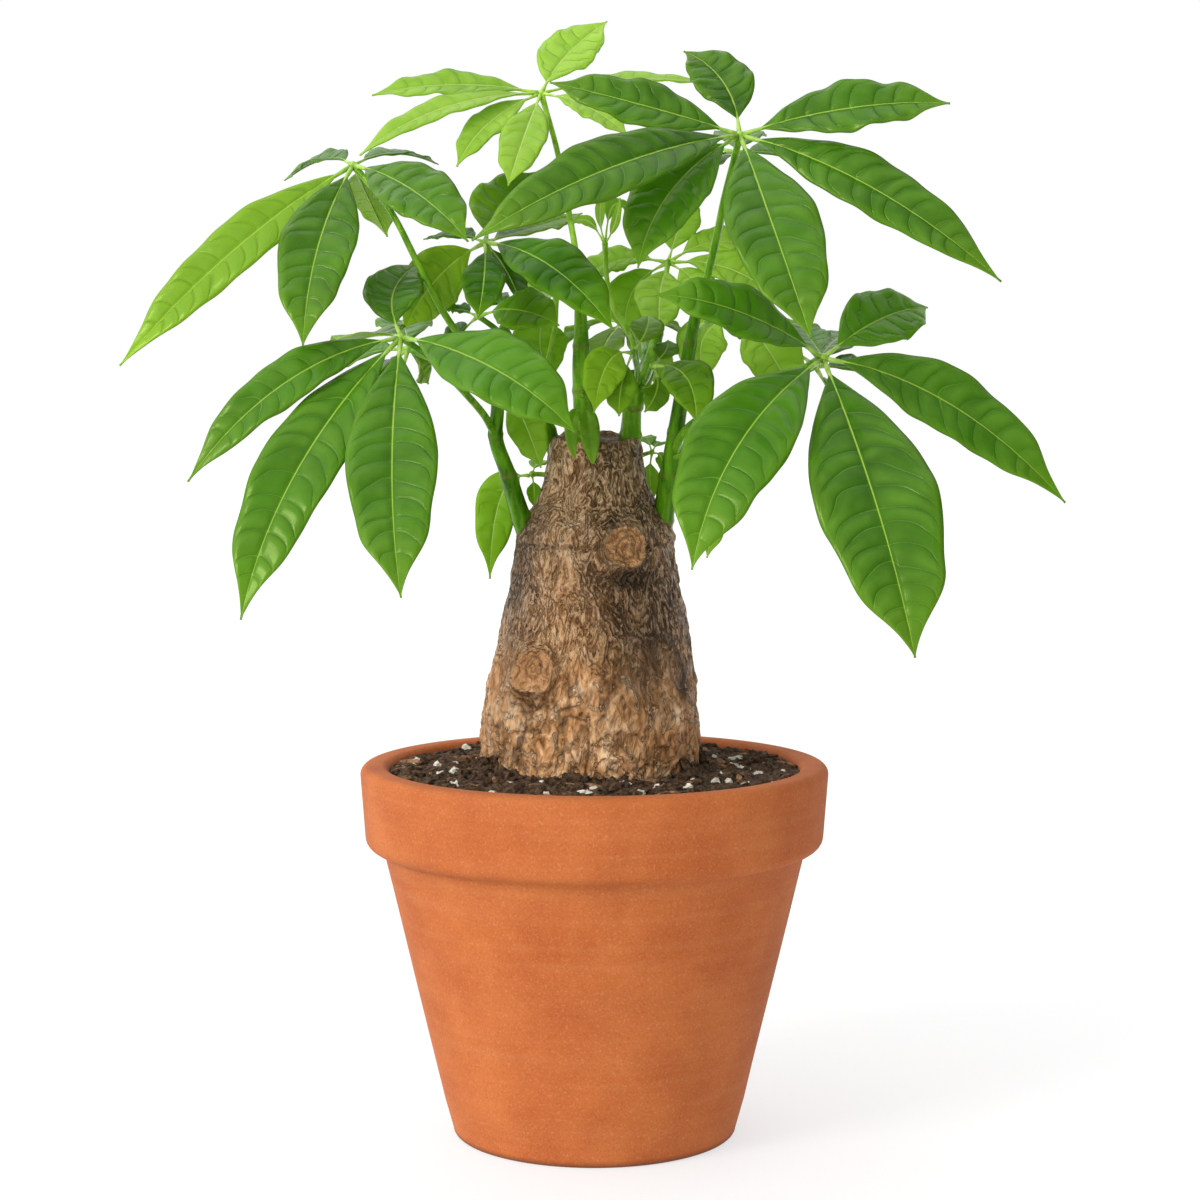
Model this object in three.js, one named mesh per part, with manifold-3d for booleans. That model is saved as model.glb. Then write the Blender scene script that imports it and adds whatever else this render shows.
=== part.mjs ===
// A money tree (Pachira) in a terracotta pot: a swollen stump cut flat on top, green shoots that
// have sprouted round the cut, and palmate leaves on long stalks. Millimetres, +Z up, and the
// origin is on the pot's axis at the face it stands on. The photograph's viewer looks along +Y.
import * as THREE from "three";
import { mergeVertices } from "three/addons/utils/BufferGeometryUtils.js";
import Module from "manifold-3d";

const wasm = await Module();
wasm.setup();

// driving dimensions
const GAP = 0.35; // left between two pieces that touch
const POT = {
  rimRadius: 90, // a 7 inch three-quarter pot
  height: 143.9,
  bandHeight: 32,
  bandFootRadius: 88.3,
  wallTopRadius: 81.5,
  footRadius: 55,
  footEdge: 2,
  lipRound: 3.4,
  bandRound: 4.8,
  lipInnerRadius: 79,
  wall: 7.5,
  floor: 10,
  drainRadius: 9,
  sides: 34,
};
const SOIL = { edgeDrop: 4.6, mound: 2.6, lump: 0.7, sides: 24 };
const TRUNK = { footZ: 92, topZ: 269.5, topTilt: 0.11, ridge: 0.5, sides: 30, footX: -2.6, topX: 0.7 };
const BLADE = { thick: 0.7, stalk: 6, stalkHalf: 0.95, stalkThick: 1.7, tipHalf: 0.4, fold: 0.16 };

// the photograph's viewpoint, so that a place seen in it can be stated as pixels and a depth
const VIEW = { focal: 2652, distance: 1015.3, height: 292.4, x: 2.1, pitch: 4.816, centre: 600 };

// The point that shows at pixel (u, v) of the 1200 x 1200 photograph and lies y mm behind the axis.
function at([u, v, y]) {
  const c = Math.cos(THREE.MathUtils.degToRad(VIEW.pitch));
  const s = Math.sin(THREE.MathUtils.degToRad(VIEW.pitch));
  const rise = (VIEW.centre - v) / VIEW.focal;
  const ahead = VIEW.distance + y;
  const up = (ahead * (rise * c - s)) / (c + rise * s);
  const depth = ahead * c - up * s;
  return new THREE.Vector3(VIEW.x + ((u - VIEW.centre) * depth) / VIEW.focal, y, VIEW.height + up);
}

// solids
function solid(geometry) {
  const bare = geometry.index ? geometry.toNonIndexed() : geometry.clone();
  for (const name of Object.keys(bare.attributes)) {
    if (name !== "position") bare.deleteAttribute(name);
  }
  const merged = mergeVertices(bare, 1e-4);
  return new wasm.Manifold(
    new wasm.Mesh({
      numProp: 3,
      vertProperties: merged.attributes.position.array,
      triVerts: new Uint32Array(merged.index.array),
    }),
  );
}

function geometryOf(shape) {
  const mesh = shape.getMesh();
  const geometry = new THREE.BufferGeometry();
  geometry.setAttribute("position", new THREE.BufferAttribute(new Float32Array(mesh.vertProperties), 3));
  geometry.setIndex(new THREE.BufferAttribute(new Uint32Array(mesh.triVerts), 1));
  geometry.computeVertexNormals();
  return geometry;
}

// The largest piece of a shape, so that a scrap left by a cut is dropped.
function whole(shape) {
  return shape.decompose().reduce((a, b) => (a.volume() > b.volume() ? a : b));
}

// A profile of [radius, z] pairs, counted anticlockwise, turned about the Z axis.
function turned(profile, sides) {
  const points = profile.map(([r, z]) => new THREE.Vector2(r, z));
  return new THREE.LatheGeometry(points, sides).rotateX(Math.PI / 2);
}

// Points of a quarter round about (r, z), from one angle to another in degrees.
function round(r, z, radius, from, to, steps = 4) {
  return Array.from({ length: steps + 1 }, (_, i) => {
    const a = THREE.MathUtils.degToRad(from + ((to - from) * i) / steps);
    return [r + radius * Math.cos(a), z + radius * Math.sin(a)];
  });
}

// Moves each vertex of a geometry by a function of its place.
function moved(geometry, move) {
  const position = geometry.attributes.position;
  const p = new THREE.Vector3();
  for (let i = 0; i < position.count; i++) {
    p.fromBufferAttribute(position, i);
    move(p);
    position.setXYZ(i, p.x, p.y, p.z);
  }
  return geometry;
}

// A tapering stem: a cylinder bent along a smooth curve through the points.
function stem(points, startRadius, endRadius, { sides = 7, steps = 7, grow = 0 } = {}) {
  const curve = new THREE.CatmullRomCurve3(points, false, "centripetal");
  const cylinder = new THREE.CylinderGeometry(1, 1, 1, sides, steps);
  const side = new THREE.Vector3();
  const other = new THREE.Vector3();
  const reference = new THREE.Vector3(0, 1, 0);
  return moved(cylinder, (p) => {
    const t = THREE.MathUtils.clamp(p.y + 0.5, 0, 1);
    const across = Math.atan2(p.z, p.x);
    const radius = Math.hypot(p.x, p.z) * (THREE.MathUtils.lerp(startRadius, endRadius, t) + grow);
    const tangent = curve.getTangentAt(t);
    side.crossVectors(reference, tangent).normalize();
    other.crossVectors(tangent, side);
    const end = t === 0 ? -grow : t === 1 ? grow : 0;
    const spot = curve.getPointAt(t).addScaledVector(tangent, end);
    p.copy(spot).addScaledVector(side, radius * Math.cos(across)).addScaledVector(other, -radius * Math.sin(across));
  });
}

// a leaflet: a thin arched blade on a short stalk
// Half the blade's width at u, from 0 at the stalk to 1 at the drawn-out tip, as a share of the whole half.
const outline = (u) => Math.max(0, Math.sin(Math.PI * Math.pow(u, 0.87))) ** 1.2;

// hub and tip are the ends of the rib, middle is a point half way along it, and tilt is how many
// degrees the blade's face leans from straight up towards the viewer.
function leaflet(hub, { tip, mid, width, tilt, wave = 0 }, segments) {
  const bend = mid.clone().multiplyScalar(2).addScaledVector(hub, -0.5).addScaledVector(tip, -0.5);
  const rib = new THREE.QuadraticBezierCurve3(hub, bend, tip);
  const length = rib.getLength();
  const stalk = Math.min(0.2, BLADE.stalk / length);
  const lean = THREE.MathUtils.degToRad(tilt);
  const facing = new THREE.Vector3(0, -Math.sin(lean), Math.cos(lean));
  const top = new THREE.PlaneGeometry(2, 1, 2, segments);
  const spots = top.attributes.position;
  const upper = [];
  const lower = [];
  for (let i = 0; i < spots.count; i++) {
    const share = spots.getX(i);
    const row = Math.round((0.5 - spots.getY(i)) * segments);
    const u = row === 0 ? 0 : (row - 1) / (segments - 1);
    const t = row === 0 ? 0 : stalk + (1 - stalk) * u;
    const end = row === segments ? BLADE.tipHalf : BLADE.stalkHalf;
    const half = row === 0 ? BLADE.stalkHalf : Math.max(end, (width / 2) * outline(u));
    const thick = THREE.MathUtils.lerp(BLADE.stalkThick, BLADE.thick, Math.min(1, row / 2)) / 2;
    const tangent = rib.getTangent(t);
    const normal = facing.clone().addScaledVector(tangent, -facing.dot(tangent)).normalize();
    const side = new THREE.Vector3().crossVectors(normal, tangent);
    const ripple = wave * Math.abs(share) * Math.sin(u * 17 + share * 1.3) * Math.sin(Math.PI * u);
    const spot = rib.getPoint(t).addScaledVector(side, share * half);
    spot.addScaledVector(normal, BLADE.fold * Math.abs(share) * half + ripple);
    upper.push(spot.clone().addScaledVector(normal, thick));
    lower.push(spot.clone().addScaledVector(normal, -thick));
  }
  return closedSheet(upper, lower, top.index.array, 3, segments + 1);
}

// Joins an upper and a lower sheet, split into the same triangles, by a wall round their border.
function closedSheet(upper, lower, triangles, columns, rows) {
  const corners = [];
  const face = (a, b, c) => corners.push(...a.toArray(), ...b.toArray(), ...c.toArray());
  for (let i = 0; i < triangles.length; i += 3) {
    const [a, b, c] = [triangles[i], triangles[i + 1], triangles[i + 2]];
    face(upper[a], upper[b], upper[c]);
    face(lower[a], lower[c], lower[b]);
  }
  const border = [];
  for (let c = 0; c < columns; c++) border.push(c);
  for (let r = 1; r < rows; r++) border.push(r * columns + columns - 1);
  for (let c = columns - 2; c >= 0; c--) border.push((rows - 1) * columns + c);
  for (let r = rows - 2; r > 0; r--) border.push(r * columns);
  border.forEach((a, i) => {
    const b = border[(i + 1) % border.length];
    face(upper[a], upper[b], lower[b]);
    face(upper[a], lower[b], lower[a]);
  });
  return new THREE.BufferGeometry().setAttribute("position", new THREE.Float32BufferAttribute(corners, 3));
}

// the pot and what fills it
const innerRadiusAt = (z) =>
  THREE.MathUtils.lerp(POT.footRadius, POT.wallTopRadius, z / (POT.height - POT.bandHeight)) - POT.wall;

function potShape() {
  const bandFoot = POT.height - POT.bandHeight;
  const profile = [
    [POT.drainRadius, POT.floor],
    [POT.drainRadius, 0],
    [POT.footRadius - POT.footEdge, 0],
    ...round(POT.footRadius - POT.footEdge, POT.footEdge, POT.footEdge, -45, 0, 1),
    [POT.wallTopRadius, bandFoot],
    ...round(POT.bandFootRadius - POT.bandRound, bandFoot + POT.bandRound, POT.bandRound, -80, 0, 2),
    ...round(POT.rimRadius - POT.lipRound, POT.height - POT.lipRound, POT.lipRound, 0, 90, 3),
    ...round(POT.lipInnerRadius + POT.lipRound, POT.height - POT.lipRound, POT.lipRound, 120, 180, 2),
    [innerRadiusAt(bandFoot) + 1, bandFoot],
    [innerRadiusAt(POT.floor + 5), POT.floor + 5],
    [innerRadiusAt(POT.floor) - 4, POT.floor],
    [POT.drainRadius, POT.floor],
  ];
  return solid(turned(profile, POT.sides));
}

// How far the stump's bark stands from its axis at height z and angle a, seen from above.
const TRUNK_PROFILE = [
  [TRUNK.footZ, 30],
  [110, 38.5],
  [143, 41.6],
  [158, 41.8],
  [170, 41.2],
  [180, 39.6],
  [192, 37.2],
  [204, 34.6],
  [214, 32.6],
  [222, 31.7],
  [230, 31.2],
  [235, 30],
  [240, 26.6],
  [245, 23],
  [252, 20.6],
  [266, 18],
  [TRUNK.topZ, 16.4],
];
// Healed branch scars on the bark: where each shows, and the size of its collar.
const SCARS = [
  { spot: at([626, 549, -30]), radius: 8.5, rise: 2.6 },
  { spot: at([531, 668, -32]), radius: 9.5, rise: 2.4 },
  { spot: new THREE.Vector3(8, 37, 200), radius: 9, rise: 2.4 },
];

function barkOffset(x, y, z) {
  const a = Math.atan2(y, x);
  const swell = 0.8 * Math.sin(2 * a + z * 0.02) + 0.6 * Math.sin(3 * a - z * 0.05);
  const ridges = TRUNK.ridge * Math.sin(11 * a + 2 * Math.sin(z * 0.09)) * Math.sin(z * 0.21 + 3 * a);
  const collar = SCARS.reduce((sum, { spot, radius, rise }) => {
    const away = Math.hypot(x - spot.x, y - spot.y, z - spot.z) / radius;
    return sum + rise * Math.exp(-Math.pow(away, 4));
  }, 0);
  return swell * 0.7 + ridges + collar;
}

function trunkShape(grow = 0, reachUp = 0) {
  const foot = [[0, TRUNK.footZ - grow]];
  const head = [[0, TRUNK.topZ + grow + reachUp]];
  const skin = TRUNK_PROFILE.map(([z, r], i) => {
    const last = i === TRUNK_PROFILE.length - 1;
    return [r + grow, last ? z + grow + reachUp : i === 0 ? z - grow : z];
  });
  const body = turned([...foot, ...skin, ...head], TRUNK.sides);
  return solid(
    moved(body, (p) => {
      const r = Math.hypot(p.x, p.y);
      if (r < 1e-6) {
        p.x += p.z > TRUNK.topZ - 1 ? TRUNK.topX : TRUNK.footX;
        return;
      }
      const push = (r + barkOffset(p.x, p.y, p.z) * Math.min(1, r / 20)) / r;
      const share = (p.z - TRUNK.footZ) / (TRUNK.topZ - TRUNK.footZ);
      p.x = p.x * push + THREE.MathUtils.lerp(TRUNK.footX, TRUNK.topX, share);
      p.y *= push;
      if (p.z > TRUNK.topZ - 1) p.z += TRUNK.topTilt * p.y;
    }),
  );
}

function soilShape() {
  const rimZ = POT.height - SOIL.edgeDrop;
  const top = [0.6, 0.74, 0.88].map((share) => [
    share * innerRadiusAt(rimZ),
    rimZ + SOIL.mound * (1 - share) * 1.4,
  ]);
  const bandFoot = POT.height - POT.bandHeight;
  const profile = [
    [0, POT.floor + GAP],
    [innerRadiusAt(POT.floor) - 4 - GAP, POT.floor + GAP],
    [innerRadiusAt(POT.floor + 5) - GAP, POT.floor + 5 + GAP],
    [innerRadiusAt(bandFoot) + 1 - GAP, bandFoot],
    [POT.lipInnerRadius - 1.1, rimZ],
    ...top.reverse(),
    [0, rimZ + SOIL.mound],
  ];
  const body = moved(turned(profile, SOIL.sides), (p) => {
    const r = Math.hypot(p.x, p.y);
    if (p.z < rimZ - 1 || r < 1) return;
    p.z += SOIL.lump * (Math.sin(p.x * 0.31 + p.y * 0.17) + Math.sin(p.y * 0.37 - p.x * 0.11));
  });
  return solid(body);
}

// the green shoots: each is one or more stems that grow from the stump
// route holds the points that a stem passes, each as the pixel (u, v) of the photograph where it shows
// and how many mm it lies behind the pot's axis. radii are the stem's radius at its start and its end.
const SHOOTS = {
  left: [
    {
      route: [[530, 538, -4], [521, 516, -6], [508, 474, -8], [496, 438, -11], [497, 402, -14], [484, 366, -19]],
      radii: [3.9, 1.9],
    },
  ],
  top_left: [
    {
      route: [[556, 452, 4], [547, 425, 4], [533, 388, 3], [516, 352, -3], [503, 326, -10]],
      radii: [2.9, 1.6],
    },
  ],
  front: [
    {
      route: [[589, 456, -7], [587, 436, -8], [583, 402, -11], [581, 368, -13], [581, 330, -13], [580, 304, -12]],
      radii: [3.9, 1.9],
    },
  ],
  top_right: [
    {
      route: [[630, 456, 4], [631, 428, 1], [632, 404, 0], [629, 370, 0]],
      radii: [4.2, 2.6],
    },
    {
      route: [[632, 410, 0], [643, 384, -2], [652, 356, 4], [659, 328, 14]],
      radii: [2.9, 1.6],
    },
  ],
  right: [
    {
      route: [[658, 540, -2], [664, 512, -4], [671, 462, -8], [677, 425, -10], [686, 370, -12], [694, 322, -14], [706, 282, -16]],
      radii: [4.2, 1.8],
    },
  ],
  back: [
    {
      route: [[628, 462, 8], [630, 436, 15], [634, 408, 25], [641, 382, 36], [647, 352, 48]],
      radii: [3.2, 1.8],
    },
  ],
};

// the palmate leaves
// shoot is what the stalk grows from, and stalk the points it passes on its way to the hub.
// hub, stalk, tip and mid are places as in SHOOTS: mid is the middle of the leaflet's rib. width is in
// mm, tilt in degrees, and wave is the height in mm of the ripples along the leaflet's edge.
const LEAVES = {
  crown: {
    shoot: "front", young: true, hub: [541, 93, 30],
    stalk: [[580, 312, -13], [577, 262, -3], [569, 213, 8], [557, 150, 20]],
    leaflets: [
      { tip: [607, 22, 62], mid: [567, 56, 48], width: 23, tilt: 45 },
      { tip: [372, 96, 22], mid: [452, 86, 27], width: 19, tilt: 35 },
      { tip: [360, 156, -4], mid: [441, 110, 8], width: 14, tilt: 35 },
      { tip: [457, 167, -4], mid: [489, 124, 12], width: 14, tilt: 45 },
      { tip: [508, 186, -12], mid: [524, 138, 4], width: 18, tilt: 55 },
      { tip: [628, 137, 12], mid: [588, 108, 20], width: 14, tilt: 35 },
      { tip: [708, 84, 55], mid: [628, 80, 46], width: 13, tilt: 25 },
    ],
  },
  upper_right: {
    shoot: "right", hub: [740, 135, -30],
    stalk: [[705, 286, -16], [716, 240, -19], [724, 200, -23], [734, 160, -28]],
    leaflets: [
      { tip: [684, 52, 2], mid: [723, 83, -14], width: 23, tilt: 50 },
      { tip: [950, 104, -38], mid: [850, 109, -36], width: 25, tilt: 50, wave: 1.4 },
      { tip: [1001, 282, -62], mid: [873, 189, -50], width: 25, tilt: 55, wave: 1 },
      { tip: [811, 339, -100], mid: [775, 233, -73], width: 34, tilt: 50 },
      { tip: [638, 268, -68], mid: [671, 192, -52], width: 27, tilt: 50 },
      { tip: [472, 241, -82], mid: [607, 170, -72], width: 27, tilt: 55 },
      { tip: [550, 83, -27], mid: [642, 106, -32], width: 23, tilt: 50, wave: 0.8 },
    ],
  },
  upper_left: {
    shoot: "left", hub: [353, 165, -15],
    stalk: [[486, 370, -18], [447, 318, -28], [421, 270, -28], [390, 210, -23]],
    leaflets: [
      { tip: [285, 181, 18], mid: [323, 160, 6], width: 18, tilt: 30 },
      { tip: [120, 366, -40], mid: [234, 251, -32], width: 22, tilt: 55 },
      { tip: [303, 347, -78], mid: [318, 248, -48], width: 28, tilt: 50 },
      { tip: [468, 242, -62], mid: [414, 192, -42], width: 26, tilt: 50 },
      { tip: [387, 237, 26], mid: [368, 198, 10], width: 18, tilt: 10 },
      { tip: [438, 165, 32], mid: [396, 154, 14], width: 14, tilt: 20 },
    ],
  },
  lower_left: {
    shoot: "left", hub: [401, 337, -55],
    stalk: [[495, 436, -11], [486, 418, -18], [466, 394, -30], [432, 360, -46]],
    leaflets: [
      { tip: [418, 265, -14], mid: [393, 295, -40], width: 22, tilt: 60 },
      { tip: [188, 482, -82], mid: [285, 384, -73], width: 20, tilt: 50 },
      { tip: [241, 620, -112], mid: [298, 470, -91], width: 29, tilt: 50 },
      { tip: [401, 598, -136], mid: [392, 470, -102], width: 32, tilt: 45 },
      { tip: [575, 433, -100], mid: [495, 370, -88], width: 31, tilt: 50 },
      { tip: [330, 352, 5], mid: [369, 337, -25], width: 26, tilt: 20 },
    ],
  },
  middle_left: {
    shoot: "top_left", hub: [485, 242, -25],
    stalk: [[504, 328, -9], [500, 300, -14], [494, 270, -20]],
    leaflets: [
      { tip: [538, 172, 24], mid: [502, 204, 4], width: 24, tilt: 50 },
      { tip: [404, 330, 2], mid: [438, 278, -10], width: 23, tilt: 84 },
      { tip: [478, 318, -62], mid: [484, 280, -48], width: 16, tilt: 50 },
      { tip: [614, 331, -78], mid: [552, 268, -57], width: 24, tilt: 50 },
      { tip: [424, 240, 6], mid: [455, 236, -8], width: 14, tilt: 25 },
      { tip: [582, 214, 46], mid: [536, 228, 20], width: 17, tilt: 25 },
      { tip: [522, 306, 8], mid: [506, 270, -8], width: 16, tilt: 30 },
    ],
  },
  lower_right: {
    shoot: "right", hub: [823, 358, -50],
    stalk: [[672, 460, -8], [684, 432, -16], [720, 407, -24], [772, 385, -36]],
    leaflets: [
      { tip: [655, 295, -76], mid: [740, 313, -68], width: 23, tilt: 55 },
      { tip: [927, 308, -14], mid: [880, 320, -34], width: 26, tilt: 58 },
      { tip: [1065, 503, -50], mid: [950, 405, -50], width: 28, tilt: 55 },
      { tip: [915, 658, -128], mid: [877, 508, -100], width: 44, tilt: 45 },
      { tip: [692, 570, -116], mid: [738, 447, -92], width: 36, tilt: 50 },
      { tip: [798, 322, 4], mid: [809, 338, -22], width: 16, tilt: 25 },
    ],
  },
  back_right: {
    shoot: "top_right", young: true, hub: [668, 262, 45],
    stalk: [[658, 332, 12], [663, 300, 27]],
    leaflets: [
      { tip: [690, 198, 76], mid: [679, 228, 62], width: 17, tilt: 30 },
      { tip: [776, 258, 62], mid: [722, 243, 56], width: 20, tilt: 35 },
      { tip: [788, 311, 30], mid: [735, 272, 38], width: 20, tilt: 40 },
      { tip: [716, 312, 28], mid: [694, 282, 38], width: 15, tilt: 45 },
      { tip: [660, 334, 2], mid: [660, 296, 27], width: 20, tilt: 45 },
      { tip: [626, 336, 36], mid: [633, 292, 48], width: 19, tilt: 45 },
      { tip: [572, 284, 46], mid: [618, 262, 50], width: 20, tilt: 30 },
    ],
  },
  hanging_right: {
    shoot: "right", young: true, hub: [738, 312, 22],
    stalk: [[691, 340, -13], [708, 322, 4], [724, 314, 15]],
    leaflets: [
      { tip: [708, 384, 4], mid: [703, 340, 14], width: 20, tilt: 60 },
      { tip: [803, 412, 6], mid: [769, 352, 14], width: 24, tilt: 50 },
      { tip: [750, 318, 66], mid: [744, 304, 45], width: 18, tilt: 10 },
      { tip: [796, 334, 66], mid: [768, 318, 44], width: 18, tilt: 20 },
    ],
  },
  inner_left: {
    shoot: "top_left", hub: [478, 316, -22],
    stalk: [[513, 347, -5], [497, 330, -16]],
    leaflets: [
      { tip: [559, 326, -40], mid: [518, 311, -32], width: 21, tilt: 50 },
      { tip: [446, 311, -18], mid: [461, 311, -19], width: 13, tilt: 15 },
      { tip: [448, 372, -6], mid: [458, 340, -12], width: 18, tilt: 40 },
      { tip: [498, 296, 40], mid: [488, 300, 10], width: 16, tilt: 10 },
    ],
  },
  middle_back: {
    shoot: "top_left", young: true, hub: [556, 297, 22],
    stalk: [[536, 396, 3], [548, 360, 12], [555, 325, 19]],
    leaflets: [
      { tip: [552, 386, 16], mid: [540, 338, 24], width: 22, tilt: 60 },
      { tip: [512, 302, 34], mid: [534, 290, 30], width: 15, tilt: 30 },
      { tip: [548, 300, 84], mid: [552, 290, 56], width: 18, tilt: 10 },
    ],
  },
  inner_front: {
    shoot: "top_right", hub: [633, 352, -32],
    stalk: [[632, 396, 0], [637, 374, -14]],
    leaflets: [
      { tip: [594, 413, -44], mid: [608, 364, -40], width: 16, tilt: 65 },
      { tip: [619, 416, -40], mid: [622, 384, -40], width: 12, tilt: 60 },
      { tip: [648, 316, -8], mid: [646, 332, -26], width: 13, tilt: 45 },
    ],
  },
  inner_right: {
    shoot: "top_right", hub: [652, 366, -30],
    stalk: [[641, 388, -3], [648, 376, -16]],
    leaflets: [
      { tip: [696, 424, -58], mid: [686, 378, -48], width: 19, tilt: 50 },
      { tip: [668, 341, -16], mid: [665, 353, -24], width: 10, tilt: 35 },
      { tip: [645, 412, -14], mid: [657, 390, -20], width: 11, tilt: 60 },
    ],
  },
  front_foot: {
    shoot: "front", hub: [583, 396, -19],
    stalk: [[583, 389, -12], [583, 393, -16]],
    leaflets: [
      { tip: [593, 464, -25], mid: [589, 429, -24], width: 10, tilt: 70 },
      { tip: [575, 458, -25], mid: [572, 427, -24], width: 7, tilt: 70 },
    ],
  },
  hanging_left: {
    shoot: "top_left", young: true, hub: [503, 380, 4],
    stalk: [[533, 383, 2], [518, 376, 6]],
    leaflets: [
      { tip: [541, 468, -6], mid: [525, 424, -4], width: 15, tilt: 65 },
      { tip: [474, 392, 38], mid: [486, 384, 24], width: 15, tilt: 30 },
      { tip: [522, 372, 54], mid: [511, 370, 32], width: 15, tilt: 15 },
    ],
  },
  stump_left: {
    shoot: null, young: true, hub: [532, 474, 16],
    stalk: [[564, 484, 9], [547, 475, 17]],
    leaflets: [
      { tip: [490, 579, 8], mid: [501, 498, 14], width: 18, tilt: 65 },
      { tip: [534, 508, 14], mid: [534, 490, 18], width: 6, tilt: 60 },
      { tip: [548, 462, 40], mid: [538, 464, 28], width: 8, tilt: 20 },
    ],
  },
  stump_right: {
    shoot: null, young: true, hub: [652, 452, 16],
    stalk: [[633, 462, 14], [643, 455, 18]],
    leaflets: [
      { tip: [653, 502, 13], mid: [650, 476, 19], width: 8, tilt: 60 },
      { tip: [664, 476, 12], mid: [661, 458, 18], width: 5, tilt: 60 },
      { tip: [664, 444, 36], mid: [658, 444, 26], width: 7, tilt: 20 },
      { tip: [642, 438, 38], mid: [647, 440, 28], width: 8, tilt: 20 },
    ],
  },
  small_right: {
    shoot: "right", young: true, hub: [705, 462, -32],
    stalk: [[672, 458, -8], [688, 455, -22]],
    leaflets: [
      { tip: [707, 558, -40], mid: [712, 510, -36], width: 12, tilt: 60 },
      { tip: [742, 500, -40], mid: [726, 474, -38], width: 12, tilt: 50 },
      { tip: [722, 440, 8], mid: [716, 446, -12], width: 12, tilt: 20 },
    ],
  },
  behind_lower_left: {
    shoot: "top_left", hub: [408, 348, 70],
    stalk: [[545, 424, 5], [528, 420, 40], [474, 382, 62]],
    leaflets: [
      { tip: [298, 388, 104], mid: [350, 360, 88], width: 24, tilt: 30 },
      { tip: [328, 462, 112], mid: [362, 398, 94], width: 28, tilt: 35 },
      { tip: [397, 500, 96], mid: [396, 422, 90], width: 28, tilt: 45 },
      { tip: [428, 384, 88], mid: [417, 362, 80], width: 15, tilt: 50 },
      { tip: [500, 384, 118], mid: [455, 356, 96], width: 24, tilt: 30 },
      { tip: [400, 322, 134], mid: [404, 326, 104], width: 24, tilt: 10 },
    ],
  },
  behind_lower_right: {
    shoot: "right", hub: [815, 366, 54],
    stalk: [[675, 440, -9], [700, 430, 8], [750, 405, 30], [793, 378, 47]],
    leaflets: [
      { tip: [716, 322, 92], mid: [764, 334, 78], width: 22, tilt: 30 },
      { tip: [938, 408, 92], mid: [876, 376, 76], width: 26, tilt: 30 },
      { tip: [868, 512, 98], mid: [848, 434, 86], width: 32, tilt: 45 },
      { tip: [744, 462, 98], mid: [772, 404, 84], width: 28, tilt: 40 },
      { tip: [850, 334, 138], mid: [834, 342, 98], width: 24, tilt: 10 },
    ],
  },
  behind_top: {
    shoot: "right", hub: [735, 152, 52],
    stalk: [[704, 292, -15], [716, 242, 8], [727, 196, 32]],
    leaflets: [
      { tip: [852, 190, 92], mid: [796, 160, 78], width: 24, tilt: 30 },
      { tip: [778, 262, 96], mid: [760, 202, 84], width: 26, tilt: 40 },
      { tip: [688, 196, 104], mid: [708, 164, 86], width: 22, tilt: 30 },
      { tip: [622, 168, 84], mid: [676, 148, 74], width: 22, tilt: 25 },
      { tip: [742, 142, 132], mid: [740, 138, 96], width: 22, tilt: 10 },
    ],
  },
  behind_middle: {
    shoot: "back", hub: [622, 322, 84],
    stalk: [[646, 358, 45], [640, 336, 64]],
    leaflets: [
      { tip: [560, 352, 122], mid: [590, 326, 106], width: 22, tilt: 20 },
      { tip: [588, 392, 134], mid: [602, 350, 116], width: 20, tilt: 20 },
      { tip: [664, 398, 128], mid: [648, 352, 110], width: 21, tilt: 20 },
      { tip: [690, 340, 118], mid: [656, 322, 104], width: 22, tilt: 20 },
      { tip: [624, 296, 139], mid: [624, 304, 116], width: 22, tilt: 5 },
    ],
  },
};

// The unopened leaves at the tip of the tallest young shoot, which stands behind the middle.
const SPROUT = {
  shoot: "top_right",
  route: [[640, 392, -1], [637, 366, 8], [632, 338, 16], [613, 306, 20], [607, 280, 22], [605, 244, 22]],
  radii: [1.3, 0.9],
  leaflets: [
    { tip: [573, 224, 26], mid: [588, 222, 24], width: 5, tilt: 50 },
    { tip: [607, 184, 24], mid: [600, 213, 22], width: 4, tilt: 50 },
    { tip: [620, 198, 20], mid: [615, 224, 20], width: 3.6, tilt: 50 },
    { tip: [632, 216, 34], mid: [614, 206, 30], width: 8, tilt: 40 },
  ],
};

const stemsOf = (name, grow = 0) =>
  SHOOTS[name].map(({ route, radii }) => solid(stem(route.map(at), radii[0], radii[1], { grow })));

const joined = (shapes) => shapes.reduce((sum, next) => sum.add(next));

function leafShape({ shoot, hub, stalk, leaflets }) {
  const centre = at(hub);
  const largest = Math.max(...leaflets.map((l) => l.width));
  const thickness = 0.65 + largest * 0.016;
  const stalkPoints = [...stalk.map(at), centre];
  const parts = [
    solid(stem(stalkPoints, thickness * 1.25, thickness, { sides: 5, steps: 4 })),
    solid(new THREE.OctahedronGeometry(thickness * 1.9, 0).translate(...centre.toArray())),
  ];
  for (const { tip, mid, width, tilt, wave } of leaflets) {
    const segments = width > 25 ? 8 : width > 15 ? 6 : 4;
    const root = centre.clone().lerp(at(mid), Math.min(0.2, 1.1 / centre.distanceTo(at(mid))));
    parts.push(solid(leaflet(root, { tip: at(tip), mid: at(mid), width, tilt, wave }, segments)));
  }
  return whole(joined(parts).subtract(shoot ? joined(stemsOf(shoot, GAP)) : trunkCutter));
}

function sproutShape({ shoot, route, radii, leaflets }) {
  const points = route.map(at);
  const parts = [solid(stem(points, radii[0], radii[1], { sides: 5, steps: 6 }))];
  for (const { tip, mid, width, tilt } of leaflets) {
    parts.push(solid(leaflet(points.at(-1), { tip: at(tip), mid: at(mid), width, tilt }, 5)));
  }
  return whole(joined(parts).subtract(joined(stemsOf(shoot, GAP))));
}

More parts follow.
